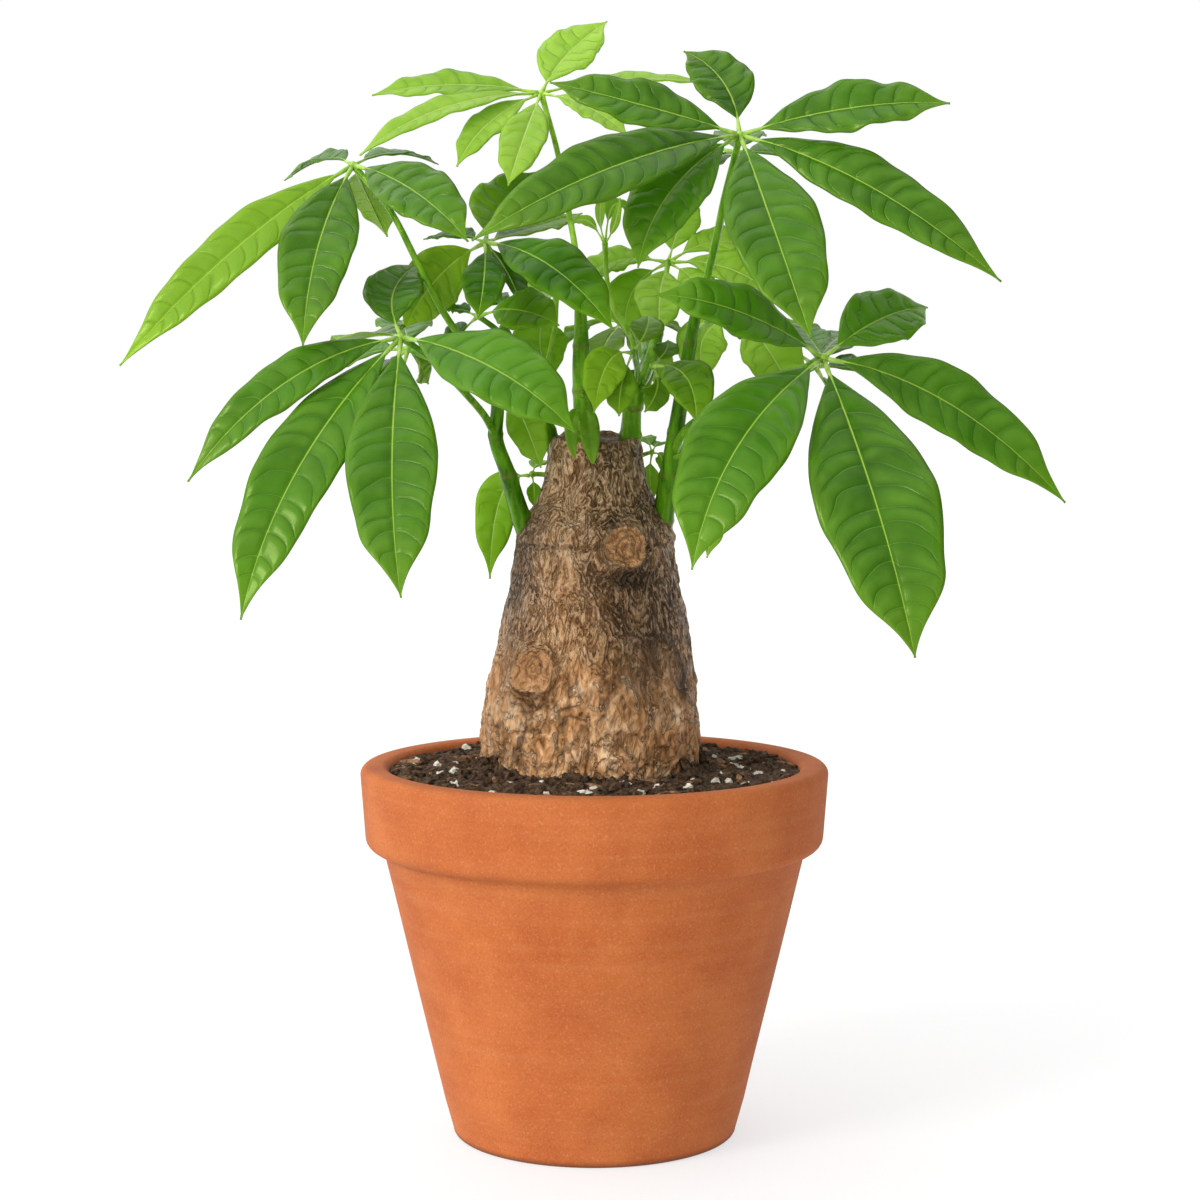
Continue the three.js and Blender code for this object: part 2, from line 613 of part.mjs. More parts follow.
// assembly
const FINISH = {
  terracotta: new THREE.MeshStandardMaterial({ color: 0xc9713f, roughness: 0.85 }),
  soil: new THREE.MeshStandardMaterial({ color: 0x2a201a, roughness: 1 }),
  bark: new THREE.MeshStandardMaterial({ color: 0x7a5c40, roughness: 0.9 }),
  stem: new THREE.MeshStandardMaterial({ color: 0x3f7d22, roughness: 0.5 }),
  leaf: new THREE.MeshStandardMaterial({ color: 0x2f7d1c, roughness: 0.45 }),
  youngLeaf: new THREE.MeshStandardMaterial({ color: 0x86b82e, roughness: 0.5 }),
};

const plant = new THREE.Group();

function place(name, shape, finish) {
  const mesh = new THREE.Mesh(geometryOf(shape), finish);
  mesh.name = name;
  plant.add(mesh);
}

const trunkCutter = trunkShape(GAP);
place("pot", potShape(), FINISH.terracotta);
place("soil", soilShape().subtract(trunkShape(GAP, 30)), FINISH.soil);
place("trunk", trunkShape(), FINISH.bark);
for (const name of Object.keys(SHOOTS)) {
  place(`shoot_${name}`, whole(joined(stemsOf(name)).subtract(trunkCutter)), FINISH.stem);
}
for (const [name, leaf] of Object.entries(LEAVES)) {
  place(`leaf_${name}`, leafShape(leaf), leaf.young ? FINISH.youngLeaf : FINISH.leaf);
}
place("sprout", sproutShape(SPROUT), FINISH.youngLeaf);

export default plant;
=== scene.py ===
# Money tree in a terracotta pot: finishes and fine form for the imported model.
import functools
import math
import random

import bmesh
import bpy
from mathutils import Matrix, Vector, noise


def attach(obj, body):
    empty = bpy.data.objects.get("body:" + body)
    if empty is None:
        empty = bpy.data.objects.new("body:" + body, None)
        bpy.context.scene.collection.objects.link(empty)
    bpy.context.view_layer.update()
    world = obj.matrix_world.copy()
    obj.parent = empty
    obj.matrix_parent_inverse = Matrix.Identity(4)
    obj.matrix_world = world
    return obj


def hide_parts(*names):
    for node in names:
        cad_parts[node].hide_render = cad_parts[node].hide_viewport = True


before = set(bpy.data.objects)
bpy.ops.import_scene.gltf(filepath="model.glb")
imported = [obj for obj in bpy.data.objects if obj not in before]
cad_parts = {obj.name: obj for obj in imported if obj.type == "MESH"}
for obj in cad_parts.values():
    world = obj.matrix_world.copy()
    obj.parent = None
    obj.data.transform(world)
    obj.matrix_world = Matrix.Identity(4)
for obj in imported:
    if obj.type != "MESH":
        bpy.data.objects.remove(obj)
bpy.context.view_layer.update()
mm = 0.001
print("frame loaded")


# the camera: focal and frame in pixels of the photograph, the rest in metres and degrees
view = dict(focal=2652, frame=1200, distance=1.0153, height=0.2924, x=0.0021, pitch=4.816, sensorMm=36)


def seenAt(place):
    # where pixel (u, v) of the photograph falls, depthMm behind the pot's axis, as in the solids
    u, v, depthMm = place
    c, s = math.cos(math.radians(view["pitch"])), math.sin(math.radians(view["pitch"]))
    rise = (view["frame"] / 2 - v) / view["focal"]
    ahead = view["distance"] + depthMm * mm
    up = ahead * (rise * c - s) / (c + rise * s)
    depth = ahead * c - up * s
    x = view["x"] + (u - view["frame"] / 2) * depth / view["focal"]
    return Vector((x, depthMm * mm, view["height"] + up))


def clamp(value, low=0.0, high=1.0):
    return max(low, min(high, value))


def smoothStep(low, high, value):
    t = clamp((value - low) / (high - low))
    return t * t * (3 - 2 * t)


def bell(value):
    return math.exp(-(value**2))


def polar(radius, angle):
    return radius * math.cos(angle), radius * math.sin(angle)


# small makers
def addObject(name, data):
    made = bpy.data.objects.new(name, data)
    bpy.context.collection.objects.link(made)
    return made


def addMesh(name, bm, materials):
    mesh = bpy.data.meshes.new(name)
    bm.to_mesh(mesh)
    bm.free()
    for material in materials:
        mesh.materials.append(material)
    return addObject(name, mesh)


def finishPiece(name, bm, materials, replaced=()):
    bmesh.ops.recalc_face_normals(bm, faces=bm.faces)
    piece = addMesh(name, bm, materials)
    piece.data.shade_smooth()
    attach(piece, "root")
    if replaced:
        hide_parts(*replaced)
    return piece


def smoothPath(points, count):
    # centripetal Catmull-Rom through the points, then evenly spaced along its length
    ends = [points[0] * 2 - points[1], *points, points[-1] * 2 - points[-2]]
    dense = []
    for a, b, c, d in zip(ends, ends[1:], ends[2:], ends[3:]):
        t1 = math.sqrt((b - a).length)
        t2 = t1 + math.sqrt((c - b).length)
        t3 = t2 + math.sqrt((d - c).length)
        for i in range(12):
            t = t1 + (t2 - t1) * i / 12
            ab = a * ((t1 - t) / t1) + b * (t / t1)
            bc = b * ((t2 - t) / (t2 - t1)) + c * ((t - t1) / (t2 - t1))
            cd = c * ((t3 - t) / (t3 - t2)) + d * ((t - t2) / (t3 - t2))
            abc = ab * ((t2 - t) / t2) + bc * (t / t2)
            bcd = bc * ((t3 - t) / (t3 - t1)) + cd * ((t - t1) / (t3 - t1))
            dense.append(abc * ((t2 - t) / (t2 - t1)) + bcd * ((t - t1) / (t2 - t1)))
    dense.append(points[-1].copy())
    lengths = [0.0]
    for a, b in zip(dense, dense[1:]):
        lengths.append(lengths[-1] + (b - a).length)
    path = []
    k = 0
    for i in range(count + 1):
        want = lengths[-1] * i / count
        while k < len(dense) - 2 and lengths[k + 1] < want:
            k += 1
        span = max(lengths[k + 1] - lengths[k], 1e-9)
        path.append(dense[k].lerp(dense[k + 1], clamp((want - lengths[k]) / span)))
    return path, lengths[-1]


def growTube(bm, path, radiusAt, sides, materialIndex=0, reference=Vector((0, 1, 0)), corkAt=None):
    # a grid wrapped round the path, with both ends drawn in to a point
    rows = len(path) - 1
    cork = None
    if corkAt:
        cork = bm.verts.layers.float.get("corky") or bm.verts.layers.float.new("corky")
    grid = bmesh.ops.create_grid(bm, x_segments=sides, y_segments=rows + 2, size=1)["verts"]
    for vert in grid:
        angle = (vert.co.x + 1) * math.pi
        row = round((vert.co.y + 1) / 2 * (rows + 2)) - 1
        at = int(clamp(row, 0, rows))
        tangent = (path[min(at + 1, rows)] - path[max(at - 1, 0)]).normalized()
        side = reference.cross(tangent).normalized()
        other = tangent.cross(side)
        radius = radiusAt(at / rows, angle) if 0 <= row <= rows else 0.0
        vert.co = path[at] + side * radius * math.cos(angle) + other * radius * math.sin(angle)
        if cork:
            vert[cork] = corkAt(at / rows, angle)
    for face in {f for vert in grid for f in vert.link_faces}:
        face.material_index = materialIndex
    bmesh.ops.remove_doubles(bm, verts=grid, dist=1e-7)


# materials
def toLinear(hexColour):
    parts = [int(hexColour[i : i + 2], 16) / 255 for i in (1, 3, 5)]
    return (*[p / 12.92 if p <= 0.04045 else ((p + 0.055) / 1.055) ** 2.4 for p in parts], 1)


def setInputs(node, inputs):
    # a value is a link, an sRGB hex colour or a plain number
    for key, value in inputs.items():
        if isinstance(value, bpy.types.NodeSocket):
            node.id_data.links.new(value, node.inputs[key])
        else:
            node.inputs[key].default_value = toLinear(value) if isinstance(value, str) else value


def addNode(tree, kind, inputs=None, stops=(), out=0, **settings):
    # stops holds the positions of a ramp with their colours or grey values
    node = tree.nodes.new("ShaderNode" + kind)
    for key, value in settings.items():
        setattr(node, key, value)
    for index, (position, value) in enumerate(stops):
        element = node.color_ramp.elements[index] if index < 2 else node.color_ramp.elements.new(position)
        element.position = position
        element.color = toLinear(value) if isinstance(value, str) else (value, value, value, 1)
    setInputs(node, inputs or {})
    return node.outputs[out]


def newMaterial(name):
    material = bpy.data.materials.new(name)
    material.use_nodes = True
    tree = material.node_tree
    return material, functools.partial(addNode, tree), tree.nodes["Principled BSDF"]


def paint(add, colour, *layers):
    # lays tints over a colour; a layer is its mask, the stops of a ramp that sharpens it or None, the tint,
    # and whatever the mask is multiplied by
    for mask, stops, tint, *shares in layers:
        if stops:
            mask = add("ValToRGB", {0: mask}, stops)
        for share in shares:
            mask = add("Math", {0: mask, 1: share}, operation="MULTIPLY")
        colour = add("Mix", {0: mask, 6: colour, 7: tint}, out=2, data_type="RGBA")
    return colour


# deep and bright are the blade's range of greens, the groove colour is painted shade along a side vein, the
# puff colour a painted sheen on the swollen part between two, fresh is new growth and also painted light
# coming through backlit leaflets, glow is the light that comes through
leafColours = dict(
    mature=dict(deep="#235404", bright="#4A860E", grooveShade="#2A6206", puffSheen="#6C9C30", vein="#80B038",
                rib="#A6CC48", fresh="#8CB824", glow="#7CC400", through=0.32),
    young=dict(deep="#74A612", bright="#B2D656", grooveShade="#72A414", puffSheen="#B8DA5C", vein="#BCDC64",
               rib="#D2E688", fresh="#A8CE3A", glow="#B0E400", through=0.42),
)


def leafMaterial(name, look, wax):
    # waxy living blade: a painted sheen on the puffed parts, painted shade along the sunk side veins, thin
    # pale rib, light glowing through it
    material, add, shader = newMaterial(name)
    keys = ("side", "veinPhase", "swell", "tone", "fresh")
    side, phase, swell, tone, fresh = (add("Attribute", out="Fac", attribute_name=key) for key in keys)
    place = add("TexCoord", out="Object")
    cloud = add("TexNoise", {"Vector": place, "Scale": 1 / (20 * mm), "Detail": 4})  # clouds 20 mm wide
    shade = add("Mix", {0: 0.55, 2: cloud, 3: tone})
    colour = add("ValToRGB", {0: shade}, [(0.34, look["deep"]), (0.68, look["bright"])])
    # away is 0 on a side vein and 0.5 half way to the next
    away = add("Math", {0: phase, 1: 0.5}, operation="PINGPONG")
    sheenPatches = add("TexNoise", {"Vector": place, "Scale": 1 / (13 * mm), "Detail": 2})  # patches of painted sheen 13 mm wide
    sheenPatches = add("ValToRGB", {0: sheenPatches}, [(0.38, 0.1), (0.62, 1.0)])
    clear = add("ValToRGB", {0: cloud}, [(0.36, 0.15), (0.6, 1.0)])  # where the side veins stand out
    colour = paint(
        add, colour,
        # new growth, and painted light coming through backlit leaflets, margins and tips
        (fresh, None, look["fresh"]),
        # painted sheen on the puffed parts between side veins
        (away, [(0.06, 0.0), (0.36, 0.4)], look["puffSheen"], swell, sheenPatches),
        # painted shade in the grooves along the side veins
        (away, [(0.015, 0.5), (0.12, 0.0)], look["grooveShade"], swell, clear),
        (away, [(0.0, 0.7), (0.026, 0.0)], look["vein"], clear),
        (side, [(0.02, 0.95), (0.045, 0.0)], look["rib"]),
    )
    pillow = add("ValToRGB", {0: away}, [(0.0, 0.0), (0.045, 0.4), (0.15, 0.78), (0.5, 1.0)])
    pillow = add("Math", {0: pillow, 1: swell}, operation="MULTIPLY")
    relief = add("Bump", {"Height": pillow, "Strength": 0.9, "Distance": 0.38 * mm})
    # the fine net of veins has meshes 2 mm wide
    net = add("TexVoronoi", {"Vector": place, "Scale": 1 / (2 * mm)}, feature="DISTANCE_TO_EDGE")
    relief = add("Bump", {"Height": net, "Strength": 0.12, "Distance": 0.3 * mm, "Normal": relief})
    # the tint gives the wax the leaf's own colour
    setInputs(shader, {"Base Color": colour, "Normal": relief, "Roughness": 0.3,
                       "Specular IOR Level": wax, "Specular Tint": "#E2F09C"})
    light = paint(add, look["glow"], (0.4, None, colour))
    through = add("BsdfTranslucent", {"Color": light})
    both = add("MixShader", {0: look["through"], 1: shader.outputs[0], 2: through})
    setInputs(material.node_tree.nodes["Material Output"], {"Surface": both})
    return material


def stalkMaterial(name, deep, bright, spotTint, share):
    # smooth green skin, darker streaks along it and small corky spots
    material, add, shader = newMaterial(name)
    place = add("TexCoord", out="Object")
    drawn = add("Mapping", {"Vector": place, "Scale": (1, 1, 0.2)})  # streaks five times as tall as wide
    streak = add("TexNoise", {"Vector": drawn, "Scale": 1 / (3 * mm), "Detail": 5})  # streaks 3 mm wide
    colour = add("ValToRGB", {0: streak}, [(0.34, deep), (0.66, bright)])
    spot = add("TexNoise", {"Vector": place, "Scale": 1 / (1.5 * mm), "Detail": 2})  # spots 1.5 mm wide
    corky = add("Attribute", out="Fac", attribute_name="corky")
    colour = paint(add, colour, (spot, [(0.6, 0.0), (0.7, share)], spotTint), (corky, None, "#6B5A34"))
    relief = add("Bump", {"Height": streak, "Strength": 0.5, "Distance": 0.5 * mm})
    setInputs(shader, {"Base Color": colour, "Normal": relief, "Roughness": 0.25,
                       "Specular IOR Level": 0.4, "Specular Tint": "#D6EE80"})
    return material


def terracottaMaterial():
    # fired unglazed clay: fine grit, cloudy colour, faint turning lines
    material, add, shader = newMaterial("firedTerracotta")
    place = add("TexCoord", out="Object")
    # clouds 28 mm wide
    cloud = add("TexNoise", {"Vector": place, "Scale": 1 / (28 * mm), "Detail": 8, "Roughness": 0.62})
    colour = add("ValToRGB", {0: cloud}, [(0.34, "#A95524"), (0.66, "#B96630")])
    # a noise 60 mm wide, pressed flat 22 times: turning lines 3 mm apart
    drawn = add("Mapping", {"Vector": place, "Scale": (0.5, 0.5, 22)})
    turning = add("TexNoise", {"Vector": drawn, "Scale": 1 / (60 * mm), "Detail": 5})
    grit = add("TexNoise", {"Vector": place, "Scale": 1 / (0.8 * mm), "Detail": 3})  # grains 0.8 mm wide
    # painted contact shade on the edge that it stands on, up to 3 mm
    height = add("SeparateXYZ", {0: place}, out=2)
    foot = add("MapRange", {0: height, 1: 0.5 * mm, 2: 3 * mm, 3: 0.7, 4: 0.0})
    colour = paint(
        add, colour,
        (turning, [(0.42, 0.0), (0.7, 0.12)], "#C88658"),
        (grit, [(0.56, 0.0), (0.7, 0.35)], "#86421C"),
        (grit, [(0.3, 0.28), (0.44, 0.0)], "#D09468"),
        # painted contact shade at the foot
        (foot, None, "#3E2416"),
    )
    lines = add("Bump", {"Height": turning, "Strength": 0.25, "Distance": 0.3 * mm})
    relief = add("Bump", {"Height": grit, "Strength": 0.4, "Distance": 0.25 * mm, "Normal": lines})
    setInputs(shader, {"Base Color": colour, "Normal": relief, "Roughness": 0.8, "Specular IOR Level": 0.3})
    return material


def barkMaterial():
    # dry bark with a slight sheen: rounded wrinkles wound like worms above, overlapping lifted flakes below,
    # dark brown above, orange-brown towards the soil, a little green near the cut; painted shade in the
    # creases, crevices, hollows and moats, painted highlights on the crests and flake edges and down the
    # front
    material, add, shader = newMaterial("flakingBark")
    keys = ("relief", "away", "swirl", "tanAndSheen", "paintedShade", "cut")
    relief, away, swirl, tanAndSheen, paintedShade, cut = (add("Attribute", out="Fac", attribute_name=key) for key in keys)
    place = add("TexCoord", out="Object")
    height = add("SeparateXYZ", {0: place}, out=2)
    # patches and grains are drawn out upwards, blotches and flakes a little
    drawn = add("Mapping", {"Vector": place, "Scale": (1, 1, 0.45)})
    squat = add("Mapping", {"Vector": place, "Scale": (1, 1, 0.8)})
    patch = add("TexNoise", {"Vector": drawn, "Scale": 1 / (10 * mm), "Detail": 6})  # patches 10 mm wide
    blotch = add("TexNoise", {"Vector": squat, "Scale": 1 / (8 * mm), "Detail": 5})  # blotches 8 mm wide
    # grains 2 mm wide
    grain = add("TexNoise", {"Vector": drawn, "Scale": 1 / (2 * mm), "Detail": 5, "Distortion": 0.8})
    shade = add("Mix", {0: 0.5, 2: grain, 3: patch})
    upper = add("ValToRGB", {0: shade}, [(0.38, "#34200E"), (0.5, "#704C2C"), (0.62, "#C89C72")])
    shade = add("Mix", {0: 0.55, 2: grain, 3: blotch})
    lower = add("ValToRGB", {0: shade}, [(0.36, "#8C5A2E"), (0.5, "#CE9864"), (0.64, "#F0CCA4")])
    sawn = add("ValToRGB", {0: shade}, [(0.38, "#3E2416"), (0.6, "#8A5A3C")])
    # the tan share brings in the lower, orange-brown colours; it also holds the painted highlight down the
    # front
    spread = add("Mix", {0: 0.55, 2: tanAndSheen, 3: patch})
    moss = add("MapRange", {0: height, 1: 190 * mm, 2: 262 * mm})
    moss = add("Math", {0: moss, 1: patch}, operation="MULTIPLY")
    # contours of a noise 8 mm wide make the wrinkles, 1 to 2 mm apart, and close rings round the scars
    field = add("TexNoise", {"Vector": drawn, "Scale": 1 / (8 * mm), "Detail": 3, "Distortion": 0.7})
    turns = add("Math", {0: field, 1: 15.0, 2: swirl}, operation="MULTIPLY_ADD")
    turns = add("Math", {0: grain, 1: 4.5, 2: turns}, operation="MULTIPLY_ADD")
    wrinkle = add("Math", {0: turns, 1: 1.0}, operation="PINGPONG")
    worm = add("ValToRGB", {0: wrinkle}, [(0.0, 0.0), (0.16, 0.42), (0.5, 0.75), (1.0, 1.0)])
    # contours of a noise 18 mm wide, some 5 mm apart, rise slowly and fall at once: flakes with lifted edges
    field = add("TexNoise", {"Vector": squat, "Scale": 1 / (18 * mm), "Detail": 2, "Distortion": 1.0})
    turns = add("Math", {0: field, 1: 7.0, 2: swirl}, operation="MULTIPLY_ADD")
    turns = add("Math", {0: grain, 1: 0.9, 2: turns}, operation="MULTIPLY_ADD")
    lift = add("Math", {0: turns}, operation="FRACT")
    flake = add("ValToRGB", {0: lift}, [(0.0, 0.0), (0.1, 0.1), (0.8, 0.6), (0.97, 1.0)])
    # flakes up to about 190 mm, with a ragged border
    low = add("Math", {0: patch, 1: 40 * mm, 2: height}, operation="MULTIPLY_ADD")
    which = add("MapRange", {0: low, 1: 200 * mm, 2: 214 * mm, 3: 1.0, 4: 0.0})
    gap = add("Mix", {0: which, 2: worm, 3: flake})
    # a healed scar: away is 1 on its rim, and the disc within has rings 2 mm apart
    uneven = add("TexNoise", {"Vector": place, "Scale": 1 / (6 * mm), "Detail": 3})  # 6 mm wide
    near = add("Math", {0: uneven, 1: 0.14, 2: away}, operation="MULTIPLY_ADD")
    disc = add("MapRange", {0: near, 1: 0.93, 2: 1.07, 3: 0.85, 4: 0.0})
    turns = add("Math", {0: uneven, 1: 1.3, 2: near}, operation="MULTIPLY_ADD")
    turns = add("Math", {0: turns, 1: 5.0}, operation="MULTIPLY")
    rings = add("Math", {0: turns, 1: 1.0}, operation="PINGPONG")
    healed = add("ValToRGB", {0: rings}, [(0.0, "#70462A"), (0.22, "#A87446"), (1.0, "#BE8C5C")])
    pits = add("TexVoronoi", {"Vector": place, "Scale": 1 / (5 * mm)})  # dark pits 5 mm apart
    healed = paint(add, healed, (pits, [(0.1, 0.85), (0.2, 0.0)], "#3A2212"))
    # a darker ring just outside the rim is painted shade in the moat
    inner = add("MapRange", {0: near, 1: 1.0, 2: 1.1})
    outer = add("MapRange", {0: near, 1: 1.08, 2: 1.22, 3: 0.45, 4: 0.0})
    lip = add("MapRange", {0: near, 1: 0.86, 2: 0.98, 4: 0.6})
    colour = paint(
        add, upper,
        (spread, [(0.29, 0.0), (0.68, 1.0)], lower),
        (moss, [(0.25, 0.0), (0.6, 0.5)], "#42481C"),
        # painted shade at the bottom of the wrinkles and under the flakes
        (gap, [(0.0, 0.85), (0.2, 0.0)], "#2A180A"),  # creases
        # painted highlight on the crests and lifted flake edges
        (gap, [(0.78, 0.0), (1.0, 0.7)], "#E6C09A"),  # lifted edges
        # painted shade in the deep cracks of the relief
        (relief, [(0.1, 0.5), (0.32, 0.0)], "#3A2512"),  # crevices
        # painted shade from the stump: the shadow below the upper scar, the left edge, the hollows, the
        # crease and the moats
        (paintedShade, None, "#2A1E0A", 0.75),
        (disc, None, healed),
        # painted shade in the moat round a scar
        (inner, None, "#3C2412", outer),
        (lip, None, "#D2A473", disc),
        (cut, None, sawn),
    )
    ringed = add("Mix", {0: disc, 2: gap, 3: rings})
    bump = add("Bump", {"Height": grain, "Strength": 0.5, "Distance": 0.7 * mm})
    bump = add("Bump", {"Height": ringed, "Strength": 1.0, "Distance": 1.8 * mm, "Normal": bump})
    wearAndSheen = add("ValToRGB", {0: ringed}, [(0.3, 0.7), (0.9, 0.24)])  # the crests are rubbed smooth
    setInputs(shader, {"Base Color": colour, "Normal": bump, "Roughness": wearAndSheen,
                       "Specular IOR Level": 0.55, "Specular Tint": "#F6E2C8"})
    return material


def crumbMaterial(name, deep, bright, sizeMm, rough):
    # loose matter in the pot: porous and matte, so only its colour and pitting show
    material, add, shader = newMaterial(name)
    place = add("TexCoord", out="Object")
    speck = add("TexNoise", {"Vector": place, "Scale": 1 / (sizeMm * mm), "Detail": 5})
    colour = add("ValToRGB", {0: speck}, [(0.32, deep), (0.68, bright)])
    relief = add("Bump", {"Height": speck, "Strength": 0.6, "Distance": 0.5 * mm})
    setInputs(shader, {"Base Color": colour, "Normal": relief, "Roughness": rough,
                       "Specular IOR Level": 0.25})
    return material


matureLeaf = leafMaterial("matureLeafBlade", leafColours["mature"], 0.6)
youngLeaf = leafMaterial("youngLeafBlade", leafColours["young"], 0.6)
# the leaves inside the crown carry less wax, so their green is deeper
innerLeaf = leafMaterial("innerLeafBlade", leafColours["mature"], 0.15)
innerYoungLeaf = leafMaterial("innerYoungLeafBlade", leafColours["young"], 0.15)
matureRib = stalkMaterial("paleRibSkin", "#7CA63A", "#A4C65C", "#B4C87C", 0.3)
youngRib = stalkMaterial("youngRibSkin", "#8CBC34", "#B8DA64", "#C6DA84", 0.3)
matureStalk = stalkMaterial("greenStalk", "#3A7408", "#70A424", "#9CB440", 0.3)
youngStalk = stalkMaterial("youngStalk", "#609414", "#94C03C", "#B0C860", 0.3)
shootSkin = stalkMaterial("greenShootSkin", "#205404", "#54900C", "#6E7028", 0.5)
terracotta = terracottaMaterial()
bark = barkMaterial()
peat = crumbMaterial("dampPeat", "#080402", "#604832", 1.6, 0.9)
barkChip = crumbMaterial("compostBark", "#3A2618", "#A07858", 2.2, 0.85)
perlite = crumbMaterial("expandedPerlite", "#A8A090", "#E8E2D6", 1.2, 0.9)
print("materials made")

# the pot
pot = dict(
    rim=90.0, height=143.9, band=32.0, bandFoot=88.3, wallTop=81.5, foot=55.0, footEdge=2.0,
    lip=3.4, bandRound=4.8, lipInner=79.0, wall=7.5, floor=10.0, drain=9.0, steps=160, driftMm=0.22,
)


def quarter(r, z, radius, start, end, steps):
    angles = [math.radians(start + (end - start) * i / steps) for i in range(steps + 1)]
    return [(r + radius * math.cos(a), z + radius * math.sin(a)) for a in angles]


def innerRadius(z):
    share = z / (pot["height"] - pot["band"])
    return pot["foot"] + (pot["wallTop"] - pot["foot"]) * share - pot["wall"]


def makePot():
    p = pot
    bandFoot = p["height"] - p["band"]
    profile = [
        (p["drain"], 0),
        (p["foot"] - p["footEdge"], 0),
        *quarter(p["foot"] - p["footEdge"], p["footEdge"], p["footEdge"], -80, 0, 4),
        *[(p["foot"] + (p["wallTop"] - p["foot"]) * i / 8, bandFoot * i / 8) for i in range(1, 8)],
        (p["wallTop"] - 0.3, bandFoot - 1.4),
        (p["wallTop"] + 0.5, bandFoot),
        *quarter(p["bandFoot"] - p["bandRound"], bandFoot + p["bandRound"], p["bandRound"], -88, 0, 7),
        *quarter(p["rim"] - p["lip"], p["height"] - p["lip"], p["lip"], 0, 90, 8),
        *quarter(p["lipInner"] + p["lip"], p["height"] - p["lip"], p["lip"], 95, 180, 7),
        (innerRadius(bandFoot) + 1, bandFoot),
        (innerRadius(p["floor"] + 5), p["floor"] + 5),
        (innerRadius(p["floor"]) - 4, p["floor"]),
        (p["drain"], p["floor"]),
    ]
    bm = bmesh.new()
    verts = [bm.verts.new((r * mm, 0, z * mm)) for r, z in profile]
    edges = [bm.edges.new(pair) for pair in zip(verts, verts[1:] + verts[:1])]
    bmesh.ops.spin(
        bm, geom=verts + edges, cent=(0, 0, 0), axis=(0, 0, 1), angle=math.tau,
        steps=p["steps"], use_merge=True, use_duplicate=False,
    )
    bmesh.ops.remove_doubles(bm, verts=bm.verts, dist=1e-6)
    for vert in bm.verts:
        radius = math.hypot(vert.co.x, vert.co.y)
        if vert.co.z > 2.5 * mm and radius > 60 * mm:
            drift = noise.noise(vert.co * 18) * pot["driftMm"] * mm  # a hand-thrown unevenness
            vert.co.x += vert.co.x / radius * drift
            vert.co.y += vert.co.y / radius * drift
    return finishPiece("terracottaPot", bm, [terracotta], ["pot"])


makePot()
print("pot made")

# the stump
stump = dict(
    profile=((92, 30), (110, 38.5), (143, 41.6), (158, 41.8), (170, 41.2), (180, 39.6), (192, 37.2),
             (204, 34.6), (214, 32.6), (222, 31.7), (230, 31.2), (235, 30), (240, 26.6), (245, 23),
             (252, 20.6), (266, 18), (269.5, 16.4)),
    footZ=92.0, topZ=269.5, topTilt=0.11, footX=-2.6, topX=0.7, around=340, up=230, capShare=0.12,
    swell=0.7, ridge=0.5, lump=1.1, fissureMm=0.8, flakeMm=0.7, wormMm=0.5, fineMm=0.22,
    creaseZ=229, ledgeZ=231, paleBelow=150, darkAbove=216, sheenX=-11, wearAndSheen=0.94, shadowX=18, shadowZ=196,
    seed=11,
)
scars = (
    dict(spot=seenAt((625, 546, -30)), radius=8.2, rise=2.8, uneven=0.06, hollow=2.8),
    dict(spot=seenAt((537, 671, -33)), radius=9.0, rise=2.2, uneven=0.2, hollow=0.8),
    dict(spot=Vector((0.008, 0.037, 0.200)), radius=9.0, rise=3.0, uneven=0.08, hollow=1.4),
)


def stumpRadius(z):
    points = stump["profile"]
    for i in range(len(points) - 1):
        (z0, r0), (z1, r1) = points[i], points[i + 1]
        if z <= z1:
            before = points[max(i - 1, 0)][1]
            after = points[min(i + 2, len(points) - 1)][1]
            t = clamp((z - z0) / (z1 - z0))
            m0, m1 = (r1 - before) / 2 * 0.7, (after - r0) / 2 * 0.7
            return ((2 * t**3 - 3 * t**2 + 1) * r0 + (t**3 - 2 * t**2 + t) * m0
                    + (3 * t**2 - 2 * t**3) * r1 + (t**3 - t**2) * m1)
    return points[-1][1]


def barkRelief(x, y, z, spot):
    # curled flakes and worm-like edges over long cracks, coarser towards the soil
    warp = noise.noise_vector(spot * 75) * 3.6
    flat = Vector((x + warp.x, y + warp.y, (z + warp.z) * 0.6)) * mm
    distances, centres = noise.voronoi(flat * 230)
    plate = clamp((distances[1] - distances[0]) * 3.2) * (0.3 + 0.7 * noise.cell(centres[0] * 97))
    wound = noise.noise(flat * 190)
    worms = clamp(1 - abs(wound) * 6) - 0.8 * clamp(1 - abs(wound - 0.17) * 9)
    crack = clamp(1 - abs(noise.fractal(Vector((x, y, z * 0.28)) * mm * 85, 1.0, 2.0, 3)) * 3.6) ** 4
    crack *= smoothStep(0.35, 0.62, 0.5 + noise.noise(spot * 34))
    fine = noise.fractal(spot * 620, 1.0, 2.0, 2)
    rough = 0.6 + 0.8 * (1 - smoothStep(140, 205, z))
    s = stump
    plates = s["flakeMm"] * (plate - 0.4) + s["wormMm"] * worms
    return rough * (plates - s["fissureMm"] * crack + s["fineMm"] * fine)


def nearScar(spot):
    return max(math.exp(-(((spot - one["spot"]).length / (one["radius"] * mm * 1.5)) ** 4)) for one in scars)


